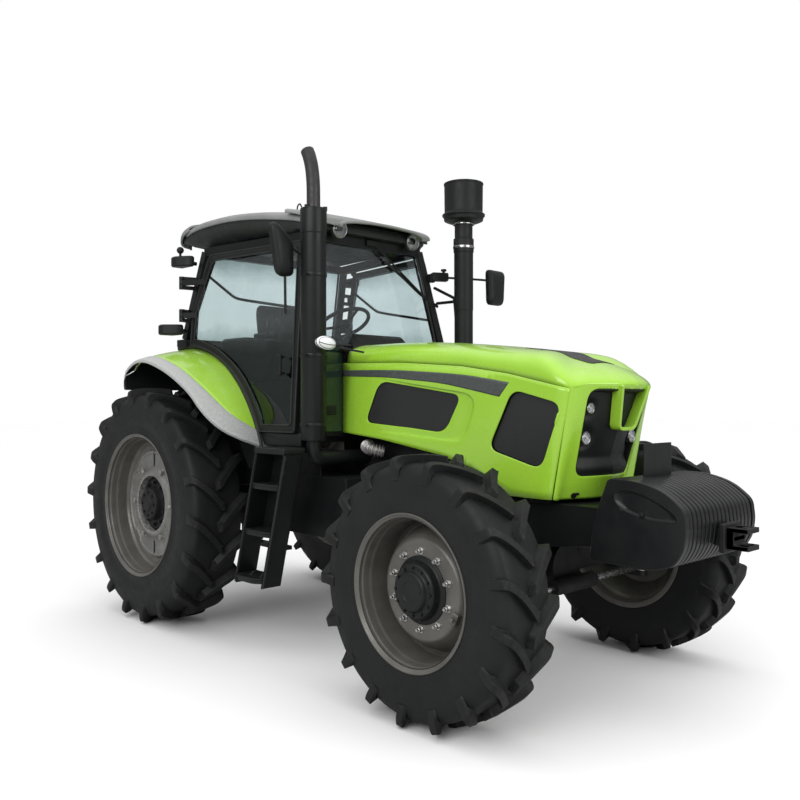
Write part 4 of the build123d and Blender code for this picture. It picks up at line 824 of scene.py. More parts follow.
# grille tray: walls that follow the opening inwards, then rings that shrink to the middle of its floor
def grilleTray():
    middle = np.array([0.0, 1.42])
    way = (middle - mouthOutline) / np.linalg.norm(middle - mouthOutline, axis=1)[:, None]
    rows = []
    for inset, depth in ((0.0052, 0.008), (0.006, 0.018), (0.009, 0.030), (0.014, 0.042)):
        r = mouthOutline + way * inset
        rows.append(skirtPoint(r[:, 0], r[:, 1], np.minimum(depth, trayDepth(r[:, 0], r[:, 1]) + 0.002)))
    start = mouthOutline + way * 0.018
    for share in np.linspace(0, 0.985, 44):
        r = start + (middle - start) * share
        rows.append(skirtPoint(r[:, 0], r[:, 1], trayDepth(r[:, 0], r[:, 1])))
    points = np.stack(rows)
    shape, faces = gridShape(points, False, True)
    n = points.shape[1]
    return shape, faces + [np.arange(len(shape) - n, len(shape))[None]]


makePiece("grilleTray", grilleTray(), "blackPlastic", "hood", crease=40, wall=0.008, hides=["grille"])


# round lamp facing forward: bezel ring, bowl and domed lens, placed at the nose's raked face
def frontLamp(y, z, radius):
    face = float(skirtPoint(np.array(y), np.array(z), 0.030)[0])
    place = (face, y, z)
    bezel = filleted([(-0.034, radius + 0.001), (-0.002, radius + 0.001), (0.002, radius - 0.001),
                      (0.001, radius - 0.004), (-0.012, radius - 0.005),
                      (-0.034, radius - 0.004)], 0.0015, 3)
    bowl = [(-0.004, radius - 0.004), (-0.008, radius * 0.84), (-0.016, radius * 0.62),
            (-0.022, radius * 0.34), (-0.024, radius * 0.16), (-0.012, radius * 0.14), (-0.011, 0.0)]
    lens = smoothLine([(-0.003, radius - 0.004), (0.003, radius * 0.72), (0.0065, radius * 0.36),
                       (0.008, 0.0)], 9)
    lens = np.concatenate([lens, (lens - (0.002, 0))[::-1]])
    return lathe(bezel, place, 0, 40, True), lathe(bowl, place, 0, 40), lathe(lens, place, 0, 40)


lampRings, lampBowls, lampLenses = [], [], []
for side, height, radius in lampPlaces:
    for s in (1, -1):
        ringShape, bowlShape, lensShape = frontLamp(s * side, height, radius)
        lampRings.append(ringShape)
        lampBowls.append(bowlShape)
        lampLenses.append(lensShape)
makePiece("frontLampRings", joined(*lampRings), "brightSteel", "hood", hides=["headlamps"])
# bowls in near-white matt: painted reflection in place of a silvered bowl's glints
makePiece("frontLampBowls", joined(*lampBowls), "reflector", "hood", crease=50)
makePiece("frontLampLenses", joined(*lampLenses), "lampGlass", "hood", crease=50)


# vent on the hood's top: a thin dark sheet laid over the skin, outlined as a long rounded strip
def hoodVent():
    edge = evenly(filleted([(2.700, -0.085), (2.700, 0.085), (3.185, 0.120), (3.185, -0.120)], 0.035, 6),
                  96, True)
    middle = np.array([2.95, 0.0])
    rings = ringsBetween(edge, np.repeat(middle[None], 96, 0), np.linspace(0, 1, 16))
    return gridShape(np.stack([np.column_stack([r, np.full(96, 2.2)]) for r in rings]), False, True)


vent = makePiece("hoodVent", hoodVent(), "screenSheet", "hood", crease=40, wall=0.002)
lay = vent.modifiers.new("lay", "SHRINKWRAP")
lay.target, lay.wrap_method, lay.use_project_z, lay.use_negative_direction = skin, "PROJECT", True, True
lay.use_positive_direction, lay.offset = False, 0.003
vent.modifiers.move(1, 0)


panel = dict(rear=1.502, frontHigh=3.2285, frontLow=3.115)
windowRear = [(1.850, 1.716), (2.512, 1.621), (2.385, 1.403), (1.722, 1.455)]
windowFront = [(2.880, 1.652), (3.190, 1.574), (3.068, 1.230), (2.714, 1.325)]
screenCounts = (44, 22, 44, 22)    # points along each side of a cell and its window
# rounding of the windows' corners
rearReach, frontReach = [0.085, 0.065, 0.075, 0.060], [0.070, 0.062, 0.070, 0.070]
scoop = [(1.80, 1.736), (2.648, 1.622), (2.545, 1.352), (1.66, 1.410)]


# point on the panel: it follows the hood's outline, pushed in by a depth
def panelSide(x, z, depth=0.0):
    along = x - hood["sideRake"] * np.minimum(z - hood["browHeight"], 0) * smoothStep(x, 2.9, 3.1)
    y = np.where(along < hood["rear"], 0.440, np.interp(along, halfOutline[:, 0], halfOutline[:, 1]))
    return np.stack(np.broadcast_arrays(x, y - depth, z), -1)


# line just under the seam between hood and panel
def seamBelow(x, drop=0.0028):
    return np.stack([x, np.interp(x, seamTable[:, 0], seamTable[:, 1]) - drop], 1)


# a cell of the panel: rings from its edge to the window; the rear one steps down into a scoop that fades
# rearwards
def panelCell(edge, window, reach, counts, sunk=None):
    inner = roundedSides(window, reach, counts)
    rings, depths = [edge], [np.zeros(len(edge))]
    if sunk is not None:
        hollow = roundedSides(sunk, [0.05, 0.12, 0.10, 0.05], counts)
        fade = smoothStep(hollow[:, 0], 1.80, 2.20)
        for share in (0.35, 0.7, 0.96):
            rings.append(edge + (hollow - edge) * share)
            depths.append(np.zeros(len(edge)))
        for share, deep in ((0.0, 0.001), (0.06, 0.007), (0.13, 0.014), (0.22, 0.018), (0.4, 0.018),
                            (0.8, 0.015)):
            rings.append(hollow + (inner - hollow) * share)
            depths.append(deep * fade)
        last = depths[-1]
    else:
        for share in (0.25, 0.5, 0.75, 0.95):
            rings.append(edge + (inner - edge) * share)
            depths.append(np.zeros(len(edge)))
        last = np.zeros(len(edge))
    middle = inner.mean(0)
    way = (middle - inner) / np.linalg.norm(middle - inner, axis=1)[:, None]
    for inset, deep in ((-0.002, 0.0), (0.001, 0.0010), (0.003, 0.004)):
        rings.append(inner + way * inset)
        depths.append(np.minimum(last + deep, 0.019))
    return gridShape(np.stack([panelSide(r[:, 0], r[:, 1], d) for r, d in zip(rings, depths)]), False, True)


# side panel: a rear cell with a scoop and a front cell that meet on a slanted line
def sidePanel():
    counts = screenCounts
    x = np.linspace(panel["rear"], 2.735, 30)
    divide = [(2.735, float(seamBelow(np.array([2.735]))[0, 1])), (2.56, 1.225)]
    rearEdge = sidesOf([seamBelow(x), divide,
                        [(2.56, 1.225), (2.363, 1.278), (1.861, 1.354), (1.502, 1.388)],
                        [(1.502, 1.388), (1.502, float(seamBelow(x)[0, 1]))]], counts)
    rear = panelCell(rearEdge, windowRear, rearReach, counts, scoop)
    x = np.linspace(2.735, panel["frontHigh"], 16)
    top = seamBelow(x)
    frontEdge = sidesOf([top, [top[-1], (panel["frontLow"], 1.078)],
                         [(panel["frontLow"], 1.078), (2.86, 1.082), (2.60, 1.205), (2.56, 1.225)],
                         divide[::-1]], counts)
    front = panelCell(frontEdge, windowFront, frontReach, counts)
    return joined(rear, front)


panels = bothSides(sidePanel())
makePiece("sidePanels", panels, "limePaint", crease=40, wall=0.007, hides=["side_panels"])


# perforated sheets set a little back in the panel's openings
def sideScreen(window, reach, sunk):
    edge = roundedSides(window, reach, screenCounts)
    middle = edge.mean(0)
    edge = edge + (edge - middle) * 0.012
    rings = ringsBetween(edge, np.repeat(middle[None], len(edge), 0), np.linspace(0, 1, 20))
    fade = [sunk * smoothStep(r[:, 0], 1.80, 2.20) for r in rings]
    return gridShape(np.stack([panelSide(r[:, 0], r[:, 1], 0.009 + f) for r, f in zip(rings, fade)]), False,
                     True)


screens = joined(sideScreen(windowRear, rearReach, 0.016), sideScreen(windowFront, frontReach, 0.010))
makePiece("sideScreens", bothSides(screens), "screenSheet", crease=40, wall=0.003, hides=["side_screens"])


# stripe under the seam: a thin film whose lower edge runs from the rear to a slanted end
def stripeFilm():
    across = np.linspace(0, 1, 7)
    top = smoothLine([(1.506, 1.787), (1.90, 1.779), (2.20, 1.763), (2.515, 1.738), (2.70, 1.713),
                      (2.862, 1.687)], 60)
    low = smoothLine([(1.506, 1.748), (1.90, 1.733), (2.12, 1.714), (2.36, 1.690), (2.58, 1.652),
                      (2.795, 1.610)], 60)
    spot = top[None] + (low - top)[None] * across[:, None, None]
    return gridShape(panelSide(spot[..., 0], spot[..., 1], -0.0012))


makePiece("stripes", bothSides(stripeFilm()), "stripeFilm", crease=40, wall=0.001)

# a latch sits low on the nose's rounded corner: made facing -Y, then turned to face out of the raked skin
latch = lathe(filleted([(0.006, 0.0), (0.006, 0.016), (-0.003, 0.016), (-0.006, 0.012), (-0.006, 0.0)],
                       0.001, 3, False), (0, 0, 0), 1, 24)
hook = brick(0.002, 0.028, -0.010, -0.003, 0.004, 0.018, 0.003)
latch = moved(joined(latch, hook), skirtPoint(0.236, 1.091), (16, 0, 64))
makePiece("hoodLatch", bothSides(latch), "blackPaint", "hood")


fender = dict(radius=1.150, hubHeight=0.842, inner=0.672, outer=1.100, first=101.0, last=22.5, skin=0.007,
              apronLow=1.672)
# lines in plan (x, y): the strip's outer edge, and the seam between sheet and strip; in elevation: the
# outer rim
fenderEdge = smoothLine([(-0.40, 1.100), (0.20, 1.100), (0.74, 1.100), (0.86, 1.092), (0.943, 1.058),
                         (1.000, 1.000), (1.040, 0.920), (1.060, 0.836), (1.078, 0.672)], 120)
fenderSeam = smoothLine([(-0.40, 1.020), (0.20, 1.020), (0.568, 1.013), (0.748, 0.997), (0.870, 0.962),
                         (0.955, 0.896), (1.000, 0.807), (1.014, 0.740), (1.020, 0.672)], 120)
rimLine = smoothLine([(-0.235, 1.776), (-0.19, 1.832), (-0.054, 1.886), (0.113, 1.886), (0.339, 1.828),
                      (0.554, 1.743), (0.758, 1.630), (0.930, 1.470), (1.062, 1.290)], 240)


# place on the fender: u runs from rear to front, y across; the sheet is a little crowned between its edges
def fenderPoint(u, y, lift=0.0):
    angle = np.radians(fender["first"] + (fender["last"] - fender["first"]) * u)
    ix, iz = fender["radius"] * np.cos(angle), fender["hubHeight"] + fender["radius"] * np.sin(angle)
    ox = np.interp(u, np.linspace(0, 1, len(rimLine)), rimLine[:, 0])
    oz = np.interp(u, np.linspace(0, 1, len(rimLine)), rimLine[:, 1])
    v = (y - fender["inner"]) / (fender["outer"] - fender["inner"])
    x, z = ix + (ox - ix) * v, iz + (oz - iz) * v
    out = np.hypot(x, z - fender["hubHeight"])
    rise = lift + 0.016 * np.sin(np.pi * np.clip(v, 0, 1)) ** 1.5
    return np.stack(np.broadcast_arrays(x * (1 + rise / out), y,
                                        fender["hubHeight"] + (z - fender["hubHeight"]) * (1 + rise / out)),
                    -1)


# how far across a line in plan (x, y) lies at each u, found by halving the error in eight passes
def acrossAt(u, line):
    y = np.full(len(u), 0.9)
    for _ in range(8):
        y = 0.5 * y + 0.5 * np.interp(fenderPoint(u, y)[:, 0], line[:, 0], line[:, 1])
    return y


# painted sheet: the fender's surface from its inner edge to the seam, its last part turned down
def fenderSheet():
    u = np.linspace(0, 1, 220)
    reach = fenderPoint(u, np.full(len(u), fender["inner"]))[:, 0]
    u = np.linspace(0, np.interp(1.018, reach, u), 150)
    seam = np.maximum(acrossAt(u, fenderSeam) - 0.001, fender["inner"] + 0.004)
    share = np.linspace(0, 1, 24)
    y = fender["inner"] + (seam - fender["inner"])[:, None] * share
    turn = 0.004 * np.clip((share - 0.97) / 0.03, 0, 1)
    return gridShape(fenderPoint(u[:, None], y, -turn))


# strip along the outer edge: raised a little over the sheet, rounded, and turned down round the rim
def fenderStrip():
    u = np.linspace(0, 1, 190)
    inside = np.maximum(acrossAt(u, fenderSeam), fender["inner"])
    outside = np.minimum(acrossAt(u, fenderEdge), fender["outer"])
    outside = np.maximum(outside, inside + 0.03)
    share = np.array([0.0, 0.0, 0.03, 0.08, 0.3, 0.6, 0.86, 0.95, 0.99, 1.0, 1.0, 1.0])
    lift = np.array([-0.004, 0.001, 0.0035, 0.0045, 0.004, 0.002, 0.0, -0.002, -0.006, -0.012, -0.020,
                     -0.026])
    y = inside[:, None] + (outside - inside)[:, None] * share
    strip = fenderPoint(u[:, None], y, lift[None])
    return gridShape(strip)


makePiece("fenderSheets", bothSides(fenderSheet()), "limePaint", crease=40, wall=fender["skin"],
          hides=["fenders"], inner="blackPlastic")
makePiece("fenderStrips", bothSides(fenderStrip()), "fenderBand", crease=40, wall=0.006,
          hides=["fender_bands"], inner="blackPlastic")


# inner wall of the fender beside the tyre: an arc closed by a stepped lower edge
def fenderWall():
    arc = np.radians(np.linspace(100, 25, 40))
    reach = fender["radius"] - 0.004
    edge = np.stack([reach * np.cos(arc), fender["hubHeight"] + reach * np.sin(arc)], 1)
    low = [(1.060, 1.120), (0.780, 1.130), (0.560, 1.500), (0.400, 1.690), (-0.180, 1.700)]
    return prism(np.concatenate([edge, low]), 0.672, 0.680, 1, 0.001)


# rubber between fender and door: a small trapezoid carried along an arc that spreads outwards to the front
def fenderSeal():
    arc, reach = np.radians(np.linspace(97, 22, 60)), fender["radius"] + 0.008
    path = np.stack([reach * np.cos(arc), np.interp(arc, np.radians([22, 60, 97]), [0.772, 0.728, 0.700]),
                     fender["hubHeight"] + reach * np.sin(arc)], 1)
    return carried(path, filleted([(-0.017, -0.010), (0.017, -0.010), (0.013, 0.010), (-0.013, 0.010)],
                                  0.006, 4), (0, 1, 0))


# apron that closes the fender's rear end: it hangs from the sheet's edge and rounds forward at its foot
def fenderApron():
    y = np.linspace(fender["inner"] - 0.100, fender["outer"] - 0.004, 30)
    top = fenderPoint(0.0, np.maximum(y, fender["inner"]), -0.006)
    top[:, 1] = y
    drop = top[:, 2] - fender["apronLow"]
    rows = [top + np.stack([np.full(30, a), np.zeros(30), -drop * b], 1)
            for a, b in ((0.004, 0.0), (-0.004, 0.15), (-0.010, 0.4), (-0.010, 0.7), (-0.002, 0.94),
                         (0.012, 1.0))]
    return gridShape(np.stack(rows))


makePiece("fenderAprons", bothSides(fenderApron()), "blackPlastic", crease=40, wall=0.005)
makePiece("fenderWalls", bothSides(fenderWall()), "blackPlastic")
makePiece("fenderSeals", bothSides(fenderSeal()), "sealRubber", crease=40)


# roof: plan outline of half the roof from the rear middle to the front middle, and its crown line over
# the middle
roofEdge = [(-0.180, 0.0), (-0.180, 0.675), (0.020, 0.735), (0.760, 0.729), (1.250, 0.585), (1.410, 0.480),
            (1.440, 0.0)]
roofCrown = smoothLine([(-0.19, 2.838), (-0.10, 2.876), (0.02, 2.905), (0.23, 2.930), (0.55, 2.930),
                        (0.85, 2.910), (1.15, 2.872), (1.30, 2.836), (1.45, 2.788)], 80)


# height of the roof's crown line at a place along the tractor
def roofHeight(x):
    return np.interp(x, roofCrown[:, 0], roofCrown[:, 1])


# shell between two stations along the roof: a superellipse across, flat on top and turned down at the edges
def roofShell(x0, x1, lift, sideOut, drop, tips=(0.0, 0.0), turn=0.052):
    half = filleted(roofEdge, [0, 0.09, 0.12, 0.25, 0.12, 0.10, 0], 9, False)
    keep = half[:, 1] > 0.3
    x = np.linspace(x0, x1, 44)
    halfWide = np.interp(x, half[keep][:, 0], half[keep][:, 1]) + sideOut
    y = np.sin(np.linspace(-np.pi / 2, np.pi / 2, 61))
    fall = (1 - (1 - np.abs(y) ** 9) ** (1 / 3.0)) * turn
    crown = 0.020 * y ** 2
    z = roofHeight(x)[:, None] + lift - crown - fall
    # both ends bow along the tractor by the cube of the distance from the middle
    slant = np.abs(y) ** 3
    along = (x - x0) / (x1 - x0)
    px = x[:, None] + tips[0] * slant * (1 - along)[:, None] + tips[1] * slant * along[:, None]
    points = np.stack([px, halfWide[:, None] * y[None], z], 2)
    skirt = points[:, [0, -1]].copy()
    skirt[:, :, 2] -= drop
    return gridShape(np.concatenate([skirt[:, :1], points, skirt[:, 1:]], 1))


roofPieces = joined(roofShell(0.02, 1.30, 0.0, 0.0, 0.010),
                    roofShell(-0.188, 0.16, 0.010, 0.010, 0.016, (0.03, -0.085)),
                    roofShell(1.06, 1.470, 0.008, 0.006, 0.004, (0.10, -0.04), 0.034))
makePiece("roofShells", roofPieces, "roofPlastic", crease=40, wall=0.016, hides=["roof_cap"])


# dark moulding under the shells: rounded sides that draw in downwards to the cab's header
def roofFascia():
    half = filleted(roofEdge[:4] + [(1.235, 0.585), (1.345, 0.500), (1.352, 0.0)],
                    [0, 0.09, 0.12, 0.25, 0.12, 0.06, 0], 9, False)
    outline = evenly(half, 90)
    outline = np.concatenate([outline, (outline * (1, -1))[-2:0:-1]])
    middle = np.array([0.62, 0.0])
    rings = []
    for inset, level in ((0.060, -0.030), (0.030, -0.034), (0.018, -0.046), (0.014, -0.070),
                         (0.020, -0.100), (0.038, -0.130), (0.075, -0.160), (0.16, -0.182)):
        way = (outline - middle) / np.linalg.norm(outline - middle, axis=1)[:, None]
        ringXY = outline - way * inset
        z = roofHeight(ringXY[:, 0]) + level
        foot = 2.722 + 0.32 * np.maximum(0.12 - ringXY[:, 0], 0)
        z = np.maximum(z, foot) if inset < 0.1 else foot
        rings.append(np.column_stack([ringXY, z]))
    return cappedRings(np.stack(rings))


makePiece("roofFascia", roofFascia(), "fasciaPlastic", crease=30, hides=["roof_fascia"])
knob = lathe(filleted([(2.895, 0.0), (2.895, 0.024), (2.912, 0.022), (2.925, 0.020), (2.932, 0.010),
                       (2.932, 0.0)], 0.003, 4, False), (0.02, -0.42, 0), 2, 24)
hookRing = pipe([(1.10, -0.50, 2.862), (1.105, -0.50, 2.905), (1.13, -0.50, 2.918), (1.15, -0.50, 2.895)],
                0.005)
makePiece("roofTrim", joined(knob, hookRing), "blackPlastic")


stack = dict(x=1.545, y=-0.705, radius=0.080, low=1.345, high=2.785, pipe=0.0425)


# shroud: a turned sleeve with a stepped head, three tabs, three bands and a bolt at each band
def exhaustShroud():
    x, y, r = stack["x"], stack["y"], stack["radius"]
    wall = filleted([(stack["low"], r - 0.03), (stack["low"], r), (stack["high"] - 0.16, r),
                     (stack["high"] - 0.156, r + 0.003), (stack["high"] - 0.004, r + 0.003),
                     (stack["high"], r), (stack["high"], r - 0.012), (stack["high"] - 0.03, r - 0.016),
                     (stack["high"] - 0.03, 0.0)], 0.003, 3, False)
    body = lathe(wall, (x, y, 0), 2, 64)
    tabs = [prism([(x - 0.012, stack["high"] - 0.012), (x + 0.012, stack["high"] - 0.012),
                   (x + 0.012, stack["high"] + 0.012), (x - 0.012, stack["high"] + 0.012)],
                  y - r - 0.006, y - r + 0.02, 1, 0.002)]
    tabs = [roundAbout(t, (x, y, 0), (20, 140, 260), 2) for t in tabs]
    bands = [lathe(filleted([(z, r - 0.002), (z, r + 0.0045), (z + 0.022, r + 0.0045),
                             (z + 0.022, r - 0.002)], 0.002, 3), (x, y, 0), 2, 64, True)
             for z in (1.43, 1.86, 2.36)]
    lug = [hexBolt(x + r * 0.6, y - r - 0.012, z + 0.011, 0.008, 0.012, -1) for z in (1.43, 1.86, 2.36)]
    return joined(body, *tabs, *bands, *lug)


# tip: an open tube along a line that leans back, with its inner wall and the rims that join them
def exhaustTip():
    x, y, r = stack["x"], stack["y"], stack["pipe"]
    path = smoothLine([(x, y, 2.72), (x, y, 2.86), (x - 0.003, y, 2.95), (x - 0.016, y, 3.04),
                       (x - 0.040, y, 3.115), (x - 0.062, y, 3.158)], 40)
    shape, faces = carried(path, ring(r, 32), (1, 0, 0), caps=False)
    inner, innerFaces = carried(path, ring(r - 0.004, 32), (1, 0, 0), caps=False)
    n = len(shape)
    rims = [np.stack([r, np.roll(r, -1), np.roll(r, -1) + n, r + n], 1)
            for r in (np.arange(n - 32, n), np.arange(32))]
    return np.concatenate([shape, inner]), faces + [f + n for f in innerFaces] + rims


elbow = joined(pipe([(stack["x"], stack["y"], 1.38), (stack["x"], stack["y"], 1.23),
                     (stack["x"], -0.26, 1.23)], 0.045, (1, 0, 0), bend=0.09),
               brick(1.50, 1.56, -0.650, -0.530, 1.500, 1.560))
makePiece("exhaustShroud", joined(exhaustShroud(), elbow), "blackPaint", crease=30, hides=["exhaust_stack"])
makePiece("exhaustTip", exhaustTip(), "pipeSteel", crease=40)

intake = dict(x=1.600, y=0.620, radius=0.067, drumLow=2.885, drum=0.140, top=3.166)


# intake: a turned pipe that thickens upwards, its bend into the engine bay and a foot on the cab
def intakePipe():
    x, y, r = intake["x"], intake["y"], intake["radius"]
    wall = filleted([(1.36, 0.0), (1.36, r - 0.004), (1.42, r), (2.24, r), (2.244, r + 0.002),
                     (2.66, r + 0.002), (2.664, r + 0.006), (2.76, r + 0.007), (2.764, r - 0.002),
                     (2.86, r - 0.002), (2.865, r + 0.010), (2.885, r + 0.016), (2.89, 0.0)], 0.002, 3,
                    False)
    pipeShape = lathe(wall, (x, y, 0), 2, 56)
    low = pipe([(x, y, 1.44), (x, y, 1.30), (x, 0.26, 1.30)], 0.055, (1, 0, 0), bend=0.09)
    foot = brick(1.50, 1.58, 0.530, 0.590, 1.500, 1.560)
    return joined(pipeShape, low, foot)


# air cleaner: a turned drum with a rolled rim near its foot and a crowned lid
def intakeDrum():
    x, y, r, low, top = intake["x"], intake["y"], intake["drum"], intake["drumLow"], intake["top"]
    wall = filleted([(low - 0.004, 0.0), (low - 0.004, 0.060), (low - 0.012, 0.090), (low, r - 0.016),
                     (low + 0.008, r + 0.001), (low + 0.034, r + 0.004), (low + 0.038, r + 0.014),
                     (low + 0.052, r + 0.015), (low + 0.056, r + 0.002), (low + 0.066, r - 0.002),
                     (top - 0.020, r), (top - 0.014, r + 0.004), (top - 0.004, r + 0.003),
                     (top, r - 0.010), (top + 0.003, 0.05), (top + 0.004, 0.0)], 0.004, 4, False)
    return lathe(wall, (x, y, 0), 2, 72)


# flat band round a pipe with its screw
def hoseClamp(x, y, z, r, wide=0.018):
    band = lathe(filleted([(z, r), (z, r + 0.003), (z + wide, r + 0.003), (z + wide, r)], 0.001, 3),
                 (x, y, 0), 2, 56, True)
    screw = bar((x - 0.004, y - r - 0.008, z + wide / 2), (x + 0.034, y - r - 0.008, z + wide / 2), 0.006,
                10)
    return joined(band, screw)


makePiece("intakePipe", intakePipe(), "blackPlastic", crease=30, hides=["air_intake"])
makePiece("intakeDrum", intakeDrum(), "blackPlastic", crease=30)
clamps = joined(hoseClamp(intake["x"], intake["y"], 2.690, intake["radius"] + 0.007),
                hoseClamp(intake["x"], intake["y"], 2.862, intake["radius"] + 0.008, 0.012))
makePiece("intakeClamps", clamps, "brightSteel", crease=30)
print("fenders, roof and pipes made")


# mirror head, outlined outwards (y) and up (z): rings that shrink to a domed front and to a rear face
# with its glass
def mirrorHead(x, y, z, outline, reach, side):
    edge = evenly(filleted(outline, reach, 7), 80, True) * (side, 1) + (side * y, z)
    middle = edge.mean(0)
    rings = []
    for inset, at in ((0.75, 0.034), (0.35, 0.032), (0.14, 0.024), (0.04, 0.012), (0.0, -0.002),
                      (0.0, -0.018), (0.035, -0.022), (0.07, -0.0215), (0.075, -0.017), (0.9, -0.017)):
        ringYZ = edge + (middle - edge) * inset
        rings.append(np.column_stack([np.full(len(edge), x + at), ringYZ]))
    glass = prism(edge + (middle - edge) * 0.08, x - 0.019, x - 0.0165, 0, 0.0004)
    return cappedRings(np.stack(rings)), glass


rightHead, rightGlass = mirrorHead(1.430, 0.860, 2.525,
                                   [(-0.082, -0.150), (-0.020, -0.166), (0.044, -0.150), (0.094, 0.150),
                                    (0.060, 0.172), (-0.010, 0.128), (-0.080, 0.052)],
                                   [0.02, 0.03, 0.04, 0.03, 0.02, 0.04, 0.04], -1)
leftHead, leftGlass = mirrorHead(1.580, 1.000, 2.445,
                                 [(-0.086, -0.132), (0.078, -0.132), (0.094, 0.130), (-0.096, 0.132)],
                                 [0.035, 0.035, 0.035, 0.035], 1)
armLeft = joined(pipe([(1.318, 0.575, 2.512), (1.34, 0.60, 2.512), (1.505, 0.90, 2.505),
                       (1.560, 1.000, 2.500), (1.580, 1.003, 2.490), (1.582, 1.002, 2.40)], 0.0085,
                      bend=0.03),
                 moved(brick(-0.055, 0.075, -0.024, 0.024, -0.032, 0.032, 0.014, 0.004),
                       (1.352, 0.612, 2.512), (0, 0, 60)),
                 lathe(filleted([(2.544, 0.0), (2.544, 0.010), (2.556, 0.010), (2.556, 0.021),
                                 (2.572, 0.021), (2.572, 0.0)], 0.002, 3, False), (1.372, 0.650, 0), 2, 20))
armRight = joined(pipe([(1.318, -0.575, 2.512), (1.34, -0.600, 2.512), (1.395, -0.775, 2.560),
                        (1.418, -0.842, 2.56), (1.428, -0.842, 2.52), (1.428, -0.838, 2.405),
                        (1.426, -0.832, 2.13)], 0.0085, bend=0.03),
                  moved(brick(-0.045, 0.055, -0.022, 0.022, -0.05, 0.05, 0.014, 0.004),
                        (1.345, -0.612, 2.505), (0, 0, -70)),
                  lathe(filleted([(2.60, 0.0), (2.60, 0.014), (2.625, 0.014), (2.632, 0.008), (2.632, 0.0)],
                                 0.002, 3, False), (1.366, -0.655, 0), 2, 20))
feet = bothSides(brick(1.300, 1.342, 0.545, 0.590, 2.470, 2.532, 0.008))
makePiece("mirrorShells", joined(rightHead, leftHead, armLeft, armRight, feet), "blackPlastic", crease=40,
          hides=["mirrors"])
makePiece("mirrorGlass", joined(rightGlass, leftGlass), "mirrorGlass")

# struts from the left post to the intake pipe
struts = joined(bar((1.335, 0.590, 2.430), (1.560, 0.575, 2.330), 0.011),
                bar((1.350, 0.600, 2.315), (1.580, 0.580, 2.310), 0.011),
                pipe([(1.545, 0.576, 2.328), (1.548, 0.580, 2.29), (1.556, 0.588, 2.14),
                      (1.560, 0.590, 2.06)], 0.009),
                bar((1.395, 0.610, 1.985), (1.560, 0.600, 1.985), 0.012))
makePiece("intakeStruts", struts, "blackPaint", crease=40)


roofLamp = dict(x=1.352, y=0.340, z=2.738, radius=0.058, tilt=6)


# round lamp facing forward: turned shell, bowl and domed lens, tilted about Y
def roundLamp(x, y, z, radius, tilt):
    shell = filleted([(-0.050, 0.0), (-0.050, radius * 0.6), (-0.024, radius * 0.98),
                      (0.010, radius + 0.003), (0.014, radius + 0.001), (0.013, radius - 0.004),
                      (0.006, radius - 0.005)], 0.003, 4, False)
    bowl = [(0.006, radius - 0.005), (-0.004, radius * 0.80), (-0.020, radius * 0.52),
            (-0.028, radius * 0.2), (-0.029, 0.0)]
    lens = smoothLine([(0.008, radius - 0.005), (0.014, radius * 0.6), (0.017, 0.0)], 8)
    lens = np.concatenate([lens, (lens - (0.002, 0))[::-1]])
    shapes = [lathe(outline, (0, 0, 0), 0, 40) for outline in (shell, bowl, lens)]
    return [moved(shape, (x, y, z), (0, tilt, 0)) for shape in shapes]


roofLamps = [roundLamp(roofLamp["x"], s * roofLamp["y"], roofLamp["z"], roofLamp["radius"], roofLamp["tilt"])
             for s in (1, -1)]
makePiece("roofLampShells", joined(*[p[0] for p in roofLamps]), "brightSteel", hides=["work_lamps"])
# bowls in near-white matt: painted reflection in place of a silvered bowl's glints
makePiece("roofLampBowls", joined(*[p[1] for p in roofLamps]), "reflector", crease=50)
makePiece("roofLampLenses", joined(*[p[2] for p in roofLamps]), "lampGlass", crease=50)

marker = dict(place=(1.680, 0.715, 1.943), turn=(8, 0, 8), wide=0.070, tall=0.041)
# across the lens: how far forward, and the share of its full outline
markerRows = [(-0.030, 0.001), (-0.030, 0.60), (-0.022, 0.90), (-0.006, 1.0), (0.006, 1.0), (0.010, 0.96),
              (0.018, 0.80), (0.023, 0.5), (0.025, 0.2), (0.025, 0.001)]


# ellipses that grow and shrink from back to front, and a bar along one of them
def ovalRings(rows):
    turn = np.linspace(0, 2 * np.pi, 48, endpoint=False)
    return np.stack([np.column_stack([np.full(48, at), marker["wide"] * s * np.cos(turn),
                                      marker["tall"] * s * np.sin(turn)]) for at, s in rows])


def ovalBar(at, share, radius):
    return carried(ovalRings([(at, share)])[0], ring(radius, 8), (1, 0, 0), True)


# oval marker lamp: a domed lens, a rim, an inner ring and a bowed line across it that follows the dome
def markerTrim():
    y = np.linspace(-0.058, 0.058, 40)
    z = -0.004 - 0.006 * np.cos(np.pi * y / 0.116)
    front = np.array(markerRows[4:9])[::-1]
    x = np.interp(np.hypot(y / marker["wide"], z / marker["tall"]), front[:, 1], front[:, 0])
    return joined(ovalBar(0.004, 1.0, 0.003), carried(np.stack([x, y, z], 1), ring(0.0024, 8), (1, 0, 0)),
                  ovalBar(0.017, 0.82, 0.0016))


lens = moved(gridShape(ovalRings(markerRows), False, True), marker["place"], marker["turn"])
trim = moved(markerTrim(), marker["place"], marker["turn"])
makePiece("markerShells", bothSides(lens), "reflector", crease=50)
makePiece("markerTrim", bothSides(trim), "blackPlastic", crease=50)
